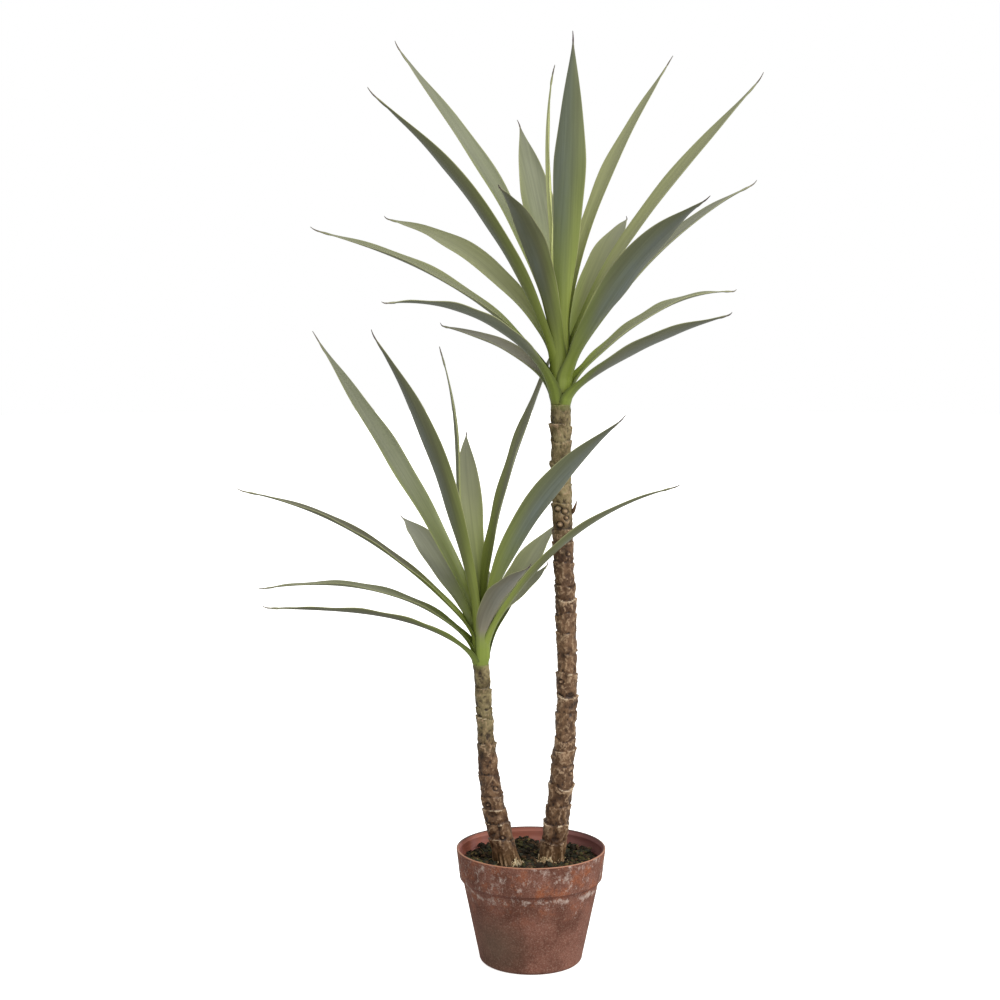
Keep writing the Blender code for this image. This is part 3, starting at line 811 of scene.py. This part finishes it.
def heart_outline(heart, stem):
    """The bud's outside from its tip down, as (radius, height above the stem's top)."""
    belly = (heart.belly, HEART_BELLY_AT)
    upper = [(belly[0] * wide, between(HEART_BELLY_AT, 1.0, up)) for wide, up in HEART_OUTLINE]
    outline = [(0.0, 1.0)] + upper[::-1] + [belly, (stem.top_radius, 0.0)]
    return [(radius, level * heart.height) for radius, level in outline]


# Moulded EVA, as the leaves' feet: a fresh green in clouds of 11 mm, with a satin skin.
bud_plastic, tree, shader = new_material("moulded_eva_bud", 0.46, ior=1.48)
spot = add(tree, "TexCoord", out="Object")
cloud = add(tree, "TexNoise", spot, Scale=90.0, Detail=4.0)
cloud = add(tree, "MapRange", cloud, 0.35, 0.65)
ground = add(tree, "Mix", cloud, "#6c7a3a", "#828e49", data_type="RGBA")
finish_coats(tree, shader, ground)

for name, heart in HEARTS.items():
    stem = STEMS[name]
    foot = stem_centre(stem, 1.0) + Vector((0, 0, GAP))
    outline = heart_outline(heart, stem)
    places = []
    for row in range(HEART_ROWS + 1):
        level = heart.height * min(row / HEART_ROWS, 0.999)
        radius = max(radius_at(outline, level), 0.0004)
        for i in range(HEART_SIDES):
            turn = 2 * math.pi * i / HEART_SIDES
            fold = (FOLDS / 2 * turn / math.pi + level * FOLD_CLIMB) % 1.0
            grown = radius - min(HEART_FOLD, radius * 0.3) * fold ** 3
            places.append(foot + Vector((grown * math.cos(turn), grown * math.sin(turn), level)))
    bud_mesh = build_mesh("bud_" + name, places, tube_faces(HEART_ROWS + 1, HEART_SIDES))
    place_piece("bud_" + name, bud_mesh, (bud_plastic,), "heart", "heart_" + name)


# The leaves
# Sword leaves pressed from two sheets of EVA with a wire between them. The foot of each wraps the bud like
# a sleeve, the blade is a shallow channel with a spine at its tip, and grey bloom is sprayed down its
# middle, with a painted reflection laid in along with it.

# The tip from the stem's top (right, back and up), how many degrees above level the blade leaves the bud
# (rise) and below level its tip points (fall), its widest width, its twist in degrees, its bow to the left
# seen from the bud, and how many degrees round the bud its root is turned. Lengths are in millimetres.
Leaf = namedtuple("Leaf", "right back up rise fall width twist bow turn", defaults=(0, 0, 0))
LEAVES = {
    "tall": (
        Leaf(190, -110, 109, 37, 15, 34, -12),
        Leaf(-147, 150, 88, 43, 10, 34),
        Leaf(-205, -110, 120, 60, -6, 32, 8),
        Leaf(220, 108, 130, 43, -3, 30),
        Leaf(10, 205, 112, 62, 5, 34, 0, 0, -15),
        Leaf(-295, 15, 205, 55, 15, 35, -10),
        Leaf(155, -180, 236, 57, 23, 39, -18, 0, 2),
        Leaf(244, 120, 263, 58, 23, 36, 0, 0, -8),
        Leaf(90, 195, 221, 68, 14, 36, 0, -12, 5),
        Leaf(-74, -190, 248, 78, 14, 30, 0, -4, 8),
        Leaf(-217, -140, 354, 68, 35, 34),
        Leaf(-219, 190, 221, 56, 10, 37, -14),
        Leaf(241, 50, 387, 68, 49, 36, 11, 0, -2),
        Leaf(-202, 150, 435, 80, 49, 38, 0, 4, 9),
        Leaf(139, 138, 415, 82, 50, 29, -10, 3, 4),
        Leaf(-48, 200, 342, 76, 44, 41, 0, 2, 5),
        Leaf(11, -60, 425, 88, 82, 37, -20, 2),
        Leaf(-8, 20, 394, 87, 116, 32, 64, 2, 20),
    ),
    "short": (
        Leaf(-252, -70, 80, 41, 5, 35, 10),
        Leaf(57, -130, 138, 87, 26, 31, 0, -2),
        Leaf(98, 180, 148, 44, 20, 35),
        Leaf(-274, 65, 79, 46, -11, 29, 1),
        Leaf(-10, 190, 100, 62, 6, 34),
        Leaf(228, -100, 225, 60, 15, 32, -3),
        Leaf(82, 60, 113, 50, 44, 35, 0, 0, 16),
        Leaf(-294, 40, 204, 48, 9, 34, 4),
        Leaf(-103, 180, 154, 49, 6, 38, 0, 9, 6),
        Leaf(161, -160, 308, 76, 33, 36, -18, 0, 8),
        Leaf(-122, -120, 401, 77, 50, 33),
        Leaf(-210, 155, 389, 61, 51, 40),
        Leaf(94, 80, 388, 88, 64, 33, -22, 0, -6),
        Leaf(-20, 205, 260, 80, 22, 30, 0, 9, -16),
        Leaf(-49, 10, 377, 67, 71, 28, 10),
    ),
}
# The dyes sprayed over the blades' own green, which also carry painted light and shade: colour, how much of
# it, how thick the bloom and painted reflection lie, how far from the middle it was sprayed, where 1 is the
# blade's edge, and how far the fresh green reaches by its usual reach.
DyeAndPaintedLight = namedtuple("DyeAndPaintedLight", "colour share bloom lean reach", defaults=(1.0,))
DYES_AND_PAINTED_LIGHT = {
    "taupe": DyeAndPaintedLight("#8a8275", 0.80, 0.4, 0.0, 0.85),
    "umber": DyeAndPaintedLight("#4a4733", 0.90, 0.1, -0.45),
    "olive": DyeAndPaintedLight("#67694f", 0.75, 0.7, -0.5),
    "grey": DyeAndPaintedLight("#7f8175", 0.65, 0.6, 0.2),
    "sage": DyeAndPaintedLight("#747a62", 0.75, 0.5, -0.2, 1.1),
    "soft": DyeAndPaintedLight("#8b8f6e", 0.60, 0.3, 0.0),
    "light": DyeAndPaintedLight("#b1b584", 0.75, 0.1, 0.0, 0.6),
    "bright": DyeAndPaintedLight("#e4eb9c", 0.90, 0.0, 0.0, 0.6),
    "dusty": DyeAndPaintedLight("#757e69", 0.65, 1.0, 0.35),
    "slate": DyeAndPaintedLight("#748063", 0.70, 0.6, -0.6),
}
# The darker dyes lie on leaves whose undersides face away from the light and are partly painted shade; the
# light and bright ones, on leaves whose lower blades lie in shadow, are partly painted light, the bright one
# most of all, on a thin leaf in shade.
DYE_LOTS_AND_PAINTED_LIGHT = {
    "taupe": ("tall_02", "short_02"),
    "umber": ("short_01", "short_08"),
    "olive": ("tall_10", "tall_11", "short_11", "short_13"),
    "grey": ("tall_01", "tall_03", "tall_08", "short_09"),
    "sage": ("tall_14", "tall_16", "short_12"),
    "soft": ("tall_04", "tall_06", "short_04", "short_07", "short_14"),
    "light": ("tall_12", "tall_13", "tall_15"),
    "bright": ("tall_18",),
    "dusty": ("tall_07", "short_10"),
    "slate": ("tall_17",),
}
FRESH_REACHES = (0.22, 0.57)  # shares of the length that are fresh green on the lowest and the topmost leaf
NECK_SHARES = (0.40, 0.32)  # width of the lowest and of the topmost neck as shares of the widest width
WIDEST_AT = 0.58
SWELL = 1.3  # how late the blade widens
TAPER = 1.25  # how late it narrows
TAPER_EASE = 0.12  # how gently the narrowing starts
SPINE_FROM = 0.968
BLADE_TO = 0.964
ROOT_DEPTH = 0.0035
TWIST_BY = 0.45  # shares of the length by which it is twisted, turned to its heading and opened out
TURN_BY = 0.30
CHANNEL_BY = 0.30
HANDLE = 0.36
MIDDLE_SHARE = 0.75  # how far a cubic curve's middle follows its two handles
SLEEVE_LENGTHS = (0.012, 0.030)  # of the lowest and of the topmost leaf
SLEEVE_SPREADS = (0.0011, 0.0004)  # how far its upper edge stands off what it wraps
SLEEVE_BITE = 0.0003  # how far its lower edge sinks into it
SLEEVE_HALF_ANGLES = (74, 64)  # at the sleeve's lower edge and where the neck leaves it
SLEEVE_BELOW = 0.003
SLEEVE_SLANT = 0.004
SLEEVE_SHARE = 0.06  # how far the sleeve reaches below 0 along the leaf
NECK_HALF_ANGLE = 50
NECK_LENGTH = 0.036
BLADE_HALF_ANGLE = 31
SPINE_HALF_ANGLE = 20
MID_THICKNESS = 0.0012
EDGE_THICKNESS = 0.0006
SPINE_RADIUS = 0.0010
SPINE_POINT = 0.40  # the spine's end by its start
SPINE_HOOK = 0.003
EDGE_WAVE = 0.0007
WIDTH_WAVE = 0.025
ACROSS = (-1.0, -0.965, -0.86, -0.70, -0.50, -0.26, 0.0, 0.26, 0.50, 0.70, 0.86, 0.965, 1.0)
SLEEVE_STEPS = 9
NECK_STEPS = 9
BLADE_STEPS = 60
SPINE_STEPS = 8
LEAF_SEED = 11


def leaf_path(heart, stem, leaf, turn_share):
    """The four control points of a midrib from the stem's top, its heading, its start and its seat."""
    seat = between(heart.first_seat, heart.last_seat, turn_share)
    tip = Vector((leaf.right, leaf.back, leaf.up)) / 1000
    heading = Vector((leaf.right, leaf.back, 0)).normalized()
    start = Matrix.Rotation(math.radians(leaf.turn), 3, "Z") @ heading
    root = start * (radius_at(heart_outline(heart, stem), seat) - ROOT_DEPTH) + Vector((0, 0, seat))
    handle = (tip - root).length * HANDLE
    rise, fall = math.radians(leaf.rise), math.radians(leaf.fall)
    bow = Vector((-heading.y, heading.x, 0)) * leaf.bow / 1000 / MIDDLE_SHARE
    out = root + bow + handle * (start * math.cos(rise) + Vector((0, 0, math.sin(rise))))
    back = tip + bow - handle * (heading * math.cos(fall) + Vector((0, 0, math.sin(fall))))
    return (root, out, back, tip), heading, start, seat


def bezier(points, t):
    """A point and a direction of a cubic curve."""
    a, b, c, d = points
    s = 1.0 - t
    place = a * s**3 + b * 3 * s * s * t + c * 3 * s * t * t + d * t**3
    slope = (b - a) * s * s + (c - b) * 2 * s * t + (d - c) * t * t
    return place, slope.normalized()


def blade_width(t, root):
    """Width at a share of the length, as a share of the widest."""
    if t < WIDEST_AT:
        return between(root, 1.0, math.sin(math.pi / 2 * t / WIDEST_AT) ** SWELL)
    past = (t - WIDEST_AT) / (SPINE_FROM - WIDEST_AT)
    return max(0.0, 1 - (past * past * (1 + TAPER_EASE) / (past + TAPER_EASE)) ** TAPER)


Station = namedtuple("Station", "place along radius half share")  # half the angle of the channel's arc


def leaf_stations(heart, stem, leaf, turn_share, rule):
    """The cross sections from the sleeve to the spine's end, the heading, the start and the length."""
    path, heading, start, seat = leaf_path(heart, stem, leaf, turn_share)
    length = (path[3] - path[0]).length
    outline = heart_outline(heart, stem)
    join_at = NECK_LENGTH / length
    sleeve_top = seat - SLEEVE_BELOW
    sleeve_low = max(sleeve_top - between(*SLEEVE_LENGTHS, turn_share), rule.uniform(-0.004, -0.001))

    def sleeve_radius(level, up):
        """Flush with what the sleeve wraps at its lower edge, and clear of it above."""
        wrapped = radius_at(outline, level) if level > 0 else stem.top_radius
        return wrapped + between(-SLEEVE_BITE, between(*SLEEVE_SPREADS, turn_share), smooth_step(up))

    stations = []
    for i in range(SLEEVE_STEPS + 1):
        t = i / SLEEVE_STEPS
        level = between(sleeve_low, sleeve_top, t)
        radius = sleeve_radius(level, t)
        lean = (sleeve_radius(level + 0.002, t) - sleeve_radius(level - 0.002, t)) / 0.004
        along = (start * lean + Vector((0, 0, 1))).normalized()
        half = math.radians(between(*SLEEVE_HALF_ANGLES, t))
        place = start * radius + Vector((0, 0, level))
        stations.append(Station(place, along, radius, half, -SLEEVE_SHARE * (1 - t)))
    foot = stations.pop()
    foot_chord = 2 * foot.radius * math.sin(foot.half)
    foot_along = (foot.along + bezier(path, 0.0)[1]).normalized()
    end, end_along = bezier(path, join_at)
    reach = (end - foot.place).length
    neck = (foot.place, foot.place + foot_along * reach / 3, end - end_along * reach / 3, end)
    for i in range(NECK_STEPS + BLADE_STEPS + 1):
        in_neck = smooth_step(i / NECK_STEPS)
        if i < NECK_STEPS:
            t = join_at * i / NECK_STEPS
            place, along = bezier(neck, i / NECK_STEPS)
        else:
            t = between(join_at, BLADE_TO, (i - NECK_STEPS) / BLADE_STEPS)
            place, along = bezier(path, t)
        half = between(SLEEVE_HALF_ANGLES[1], NECK_HALF_ANGLE, in_neck)
        half = math.radians(between(half, BLADE_HALF_ANGLE, smooth_step((t - join_at) / CHANNEL_BY)))
        blade_chord = leaf.width / 1000 * blade_width(t, between(*NECK_SHARES, turn_share))
        chord = math.hypot(between(foot_chord, blade_chord, in_neck), 1.6 * SPINE_RADIUS)
        stations.append(Station(place, along, chord / 2 / math.sin(half), half, t))
    up = Vector((0, 0, 1))
    hook = up * rule.uniform(0.3, 1.0) + heading.cross(up) * rule.uniform(-0.8, 0.8)
    for i in range(1, SPINE_STEPS + 1):
        past = i / SPINE_STEPS
        t = between(SPINE_FROM, 1.0, past)
        place, along = bezier(path, t)
        place = place + (hook - along * 0.4) * SPINE_HOOK * past * past
        half = math.radians(between(BLADE_HALF_ANGLE, SPINE_HALF_ANGLE, past))
        radius = SPINE_RADIUS * between(1.0, SPINE_POINT, past) / math.sin(half)
        stations.append(Station(place, along, radius, half, t))
    return stations, heading, start, length


def leaf_mesh(name, heart, stem, leaf, turn_share, dye_and_painted_light, rule):
    """The sleeve round the bud, the neck, the channelled blade and the spine, as one closed skin."""
    stations, heading, start, length = leaf_stations(heart, stem, leaf, turn_share, rule)
    slant = rule.uniform(-1.0, 1.0)
    waves = [(rule.uniform(2.2, 4.8), rule.uniform(0, 6.3), rule.uniform(0.5, 1.2)) for _ in range(2)]
    width_wave = (rule.uniform(2.5, 5.0), rule.uniform(0, 6.3))
    places, blade, fibre = [], [], []
    for place, along, radius, half, t in stations:
        turned = smooth_step(t / TURN_BY)
        out = (start * (1 - turned) + heading * turned).normalized()
        side = Vector((-out.y, out.x, 0))
        side = (side - along * side.dot(along)).normalized()
        roll = Matrix.Rotation(math.radians(leaf.twist) * smooth_step(t / TWIST_BY), 3, along)
        across, face = roll @ side, roll @ along.cross(side)
        free = smooth_step((t - 0.02) / 0.15) * smooth_step((SPINE_FROM - t) / 0.10)
        swollen = 1 + WIDTH_WAVE * free * math.sin(2 * math.pi * width_wave[0] * t + width_wave[1])
        spine = smooth_step((t - SPINE_FROM + 0.05) / 0.05)
        low = max(0.0, -t / SLEEVE_SHARE)
        chord = radius * math.sin(min(half, math.pi / 2))
        thick_mid = between(MID_THICKNESS, 2 * chord, spine)
        for layer in (1, -1):
            for s in ACROSS if layer == 1 else ACROSS[::-1]:
                turn = s * half
                rate, phase, size = waves[0 if s > 0 else 1]
                wave = EDGE_WAVE * size * free * s * s * math.sin(2 * math.pi * rate * t + phase)
                x = radius * math.sin(turn) * swollen
                y = radius * (1 - math.cos(turn)) + wave
                flat = between(EDGE_THICKNESS, thick_mid, 1 - s * s)
                round_off = 2 * chord * math.sqrt(max(0.0, 1 - s * s))
                thick = between(flat, round_off, spine)
                x -= layer * math.sin(turn) * thick / 2
                y += layer * math.cos(turn) * thick / 2
                drop = SLEEVE_SLANT * low * (0.8 * s * s + slant * s)
                places.append(place + across * x + face * y + along * drop)
                blade.append((s, t, layer))
                fibre.append((radius * turn + layer, length * t, turn_share))
    edges = [0.01 + 0.48 * (s + 1) / 2 for s in ACROSS]
    edges += [0.51 + 0.48 * (1 - s) / 2 for s in ACROSS[::-1]] + [1.0]
    corners = tube_corners(edges, [0.005 + 0.99 * i / (len(stations) - 1) for i in range(len(stations))])
    corners += [(edge, 0.002) for edge in edges[-2::-1]] + [(edge, 0.998) for edge in edges[:-1]]
    top = stem_centre(stem, 1.0)
    data = build_mesh(name, [top + p for p in places], tube_faces(len(stations), 2 * len(ACROSS)))
    set_unwrap(data, corners)
    set_attribute(data, "blade", "FLOAT_VECTOR", blade)
    set_attribute(data, "fibre", "FLOAT_VECTOR", fibre)
    warm, own_bloom_and_reflection, pale = rule.uniform(0, 1), rule.uniform(0.2, 0.7), rule.uniform(0, 1)
    fresh = between(*FRESH_REACHES, turn_share) + rule.uniform(-0.03, 0.03)
    dye_and_painted_light = dye_and_painted_light or DyeAndPaintedLight("#000000", 0.0, own_bloom_and_reflection, between(-0.5, 0.5, pale))
    set_attribute(data, "tone", "FLOAT_VECTOR", [(warm, dye_and_painted_light.bloom, pale)] * len(places))
    set_attribute(data, "dye_and_painted_light", "FLOAT_VECTOR", [linear(dye_and_painted_light.colour)[:3]] * len(places))
    set_attribute(data, "reach", "FLOAT_VECTOR", [(fresh * dye_and_painted_light.reach, dye_and_painted_light.share, dye_and_painted_light.lean)] * len(places))
    return data


# Pressed EVA sheet with sprayed dye and bloom: satin, fresh green at the foot, its dye above, bluish where
# the bloom lies thick, greyer towards the tip, with fibres 2 to 3 mm apart, a thin pale cut edge and a
# purplish spine. Where the spray fell thin, beside the dye, its own green shows. Painted light is laid in
# with these: the bluish bloom is partly painted reflection, the dyes and the grey towards the tip are partly
# painted shade and light, the underside is darker partly as painted shade, and painted shade lies between the
# leaves' feet.
leaf_sheet, tree, shader = new_material("pressed_eva_leaf", 0.44, ior=1.48)
blade = add(tree, "Attribute", out="Vector", attribute_name="blade")
fibre = add(tree, "Attribute", out="Vector", attribute_name="fibre")
tone = add(tree, "Attribute", out="Vector", attribute_name="tone")
reach = add(tree, "Attribute", out="Vector", attribute_name="reach")
dye_and_painted_light = add(tree, "Attribute", out="Color", attribute_name="dye_and_painted_light")
across, along, layer = add(tree, "SeparateXYZ", blade).node.outputs
warm, bloom_and_reflection_thickness, pale = add(tree, "SeparateXYZ", tone).node.outputs
fresh_reach, dye_and_painted_light_share, lean = add(tree, "SeparateXYZ", reach).node.outputs
inner = add(tree, "SeparateXYZ", fibre, out="Z")
streak_place = add(tree, "Mapping", fibre, Scale=(420.0, 9.0, 120.0))
streaks = add(tree, "TexNoise", streak_place, Scale=1.0, Detail=2.0, Roughness=0.5)
blotch_place = add(tree, "Mapping", fibre, Scale=(110.0, 26.0, 120.0))
blotches = add(tree, "TexNoise", blotch_place, Scale=1.0, Detail=4.0)
from_middle = add(tree, "Math", across, operation="ABSOLUTE")
from_spray = add(tree, "Math", across, lean, operation="SUBTRACT")
from_spray = add(tree, "Math", from_spray, operation="ABSOLUTE")
upper = add(tree, "Math", layer, 0.0, operation="GREATER_THAN")
# The underside's green is darker than the upper side's: partly the sheet's duller back and partly painted
# shade, as the undersides face away from the light.
top_green = add(tree, "Mix", warm, "#80855a", "#8d9161", data_type="RGBA")
under_green_and_shade = add(tree, "Mix", warm, "#707548", "#7b8052", data_type="RGBA")
ground = add(tree, "Mix", upper, under_green_and_shade, top_green, data_type="RGBA")
bare = add(tree, "MapRange", from_spray, 0.45, 1.35, **EASED)
bare_dye = add(tree, "MapRange", bare, 0.0, 1.0, 1.0, 0.45)
dye_and_painted_light_share = add(tree, "Math", dye_and_painted_light_share, bare_dye, operation="MULTIPLY")
# A grey-blue stripe that is partly sprayed bloom and partly a painted reflection, lying where the spray leans
# and growing up the blade.
bloom = add(tree, "MapRange", from_spray, 0.95, 0.15, **EASED)
bloom_and_reflection_rise = add(tree, "MapRange", along, 0.10, 0.42, **EASED)
bloom_and_reflection_patch = add(tree, "MapRange", blotches, 0.3, 0.65, 0.45, 1.0)
bloom_and_reflection_most = add(tree, "MapRange", bloom_and_reflection_thickness, 0.0, 1.0, 0.0, 0.9)
for share in (bloom_and_reflection_rise, bloom_and_reflection_patch, bloom_and_reflection_most):
    bloom = add(tree, "Math", bloom, share, operation="MULTIPLY")
# The bloom is darker on the underside, partly as painted shade.
bloom_and_reflection_colour = add(tree, "Mix", upper, "#7a847e", "#8f927d", data_type="RGBA")
# Greyer towards the tip: partly the blade's own greyer colour and partly painted shade on the outer blade,
# which arches up into the light.
tip = add(tree, "MapRange", along, 0.50, 1.0, 0.0, 0.50)
fresh_green = add(tree, "Mix", inner, "#7b8b37", "#939f4a", data_type="RGBA")
margin = add(tree, "Math", bare, 0.30, operation="MULTIPLY")
fresh_reach = add(tree, "Math", fresh_reach, margin, operation="ADD")
fresh = add(tree, "MapRange", along, fresh_reach, 0.10, **EASED)
above_sleeve = add(tree, "MapRange", along, 0.05, 0.20, 0.0, 0.45)
stained = add(tree, "Math", dye_and_painted_light_share, above_sleeve, operation="MULTIPLY")
fresh_green = add(tree, "Mix", stained, fresh_green, dye_and_painted_light, data_type="RGBA")
foot = add(tree, "MapRange", along, 0.16, 0.03)
# Painted shade: dark green along the sides of the leaves' feet, where they meet one another.
painted_joint_shade = add(tree, "MapRange", from_middle, 0.62, 0.98, 0.0, 0.7, **EASED)
painted_joint_shade = add(tree, "Math", painted_joint_shade, foot, operation="MULTIPLY")
hem = add(tree, "MapRange", along, -0.035, -0.06, 0.0, 0.6)
wither = add(tree, "MapRange", along, 0.92, 0.968, 0.0, 0.5, **EASED)
spine = add(tree, "MapRange", along, 0.962, 0.972)
edge = add(tree, "MapRange", from_middle, 0.93, 0.98, 0.0, 0.65)
grown = add(tree, "MapRange", along, 0.12, 0.30)
edge = add(tree, "Math", edge, grown, operation="MULTIPLY")
coats = [(dye_and_painted_light_share, dye_and_painted_light), (bloom, bloom_and_reflection_colour), (tip, "#6e6f60"), (fresh, fresh_green), (painted_joint_shade, "#444d20")]
coats += [(hem, "#6b6638"), (wither, "#74695c"), (spine, "#5b4b4c"), (edge, "#b3b585")]
ground = finish_coats(tree, shader, ground, coats, streaks, strength=0.2, depth=0.0003)
streak_share = add(tree, "MapRange", streaks, 0.25, 0.75, 0.86, 1.14)
pale_share = add(tree, "MapRange", pale, 0.0, 1.0, 0.92, 1.1)
bright = add(tree, "Math", streak_share, pale_share, operation="MULTIPLY")
ground = add(tree, "VectorMath", ground, bright, operation="SCALE")
tree.links.new(ground, shader.inputs["Base Color"])

rule = random.Random(LEAF_SEED)
dyes_and_painted_light = {label: DYES_AND_PAINTED_LIGHT[dye_and_painted_light] for dye_and_painted_light, labels in DYE_LOTS_AND_PAINTED_LIGHT.items() for label in labels}
for name, leaves in LEAVES.items():
    heart, stem = HEARTS[name], STEMS[name]
    for rank, leaf in enumerate(leaves):
        label = f"{name}_{rank + 1:02d}"
        turn_share = rank / (len(leaves) - 1)
        data = leaf_mesh("sword_leaf_" + label, heart, stem, leaf, turn_share, dyes_and_painted_light.get(label), rule)
        place_piece("sword_leaf_" + label, data, (leaf_sheet,), "leaf", "leaf_" + label)


# The studio
# A white sweep on the floor, a broad soft key from the right and above, and a weak fill from all round, so
# the undersides and the left sides stay in shade.

FLOOR_RADIUS = 9.0
FLOOR_CORNERS = 48
FLOOR_GLOW = 0.80
KEY_STRENGTH = 1.7
FILL_STRENGTH = 0.76

floor_mesh = bpy.data.meshes.new("studio_floor")
floor_mesh.from_pydata(ring(FLOOR_RADIUS, 0.0, FLOOR_CORNERS), [], [list(range(FLOOR_CORNERS))])
floor = bpy.data.objects.new("studio_floor", floor_mesh)
bpy.context.scene.collection.objects.link(floor)
paper, tree, shader = new_material("white_paper_sweep", 0.9, specular=0.1)
shader.inputs["Base Color"].default_value = linear("#f4f4f2")
shader.inputs["Emission Color"].default_value = linear("#ffffff")
shader.inputs["Emission Strength"].default_value = FLOOR_GLOW
floor_mesh.materials.append(paper)
floor.visible_diffuse = False
floor.visible_glossy = False

key = bpy.data.lights.new("soft_key", "SUN")
key.energy = KEY_STRENGTH
key.angle = math.radians(28)
key.color = (1.0, 0.985, 0.96)
key_object = bpy.data.objects.new("soft_key", key)
key_object.rotation_euler = Vector((0.55, -0.60, 0.58)).to_track_quat("Z", "Y").to_euler()
bpy.context.scene.collection.objects.link(key_object)

world = bpy.data.worlds.new("studio_air")
bpy.context.scene.world = world
world.use_nodes = True
tree = world.node_tree
tree.nodes.clear()
way = add(tree, "TexCoord", out="Generated")
right, _, up = add(tree, "SeparateXYZ", way).node.outputs
up = add(tree, "MapRange", up, -0.6, 0.8, 0.76, 1.12)
right = add(tree, "MapRange", right, -0.8, 0.8, 0.80, 1.15)
fill = add(tree, "Math", up, right, operation="MULTIPLY")
fill = add(tree, "Math", fill, FILL_STRENGTH, operation="MULTIPLY")
fill_air = add(tree, "Background", "#fbfaf6", fill)
white_air = add(tree, "Background", "#ffffff", 1.0)
seen = add(tree, "LightPath", out="Is Camera Ray")
air = add(tree, "MixShader", seen, fill_air, white_air)
add(tree, "OutputWorld", air)
bpy.context.scene.view_settings.view_transform = "Standard"


# The camera
# Level with the middle of the tall stem's leaves, 2.4 m away, looking slightly down.

lens = bpy.data.cameras.new("camera")
lens.lens = 73.5
lens.sensor_width = 36.0
camera = bpy.data.objects.new("camera", lens)
camera.location = (-0.0374, -2.40, 0.846)
camera.rotation_euler = (math.radians(90 - 6.76), 0.0, 0.0)
bpy.context.scene.collection.objects.link(camera)
bpy.context.scene.camera = camera
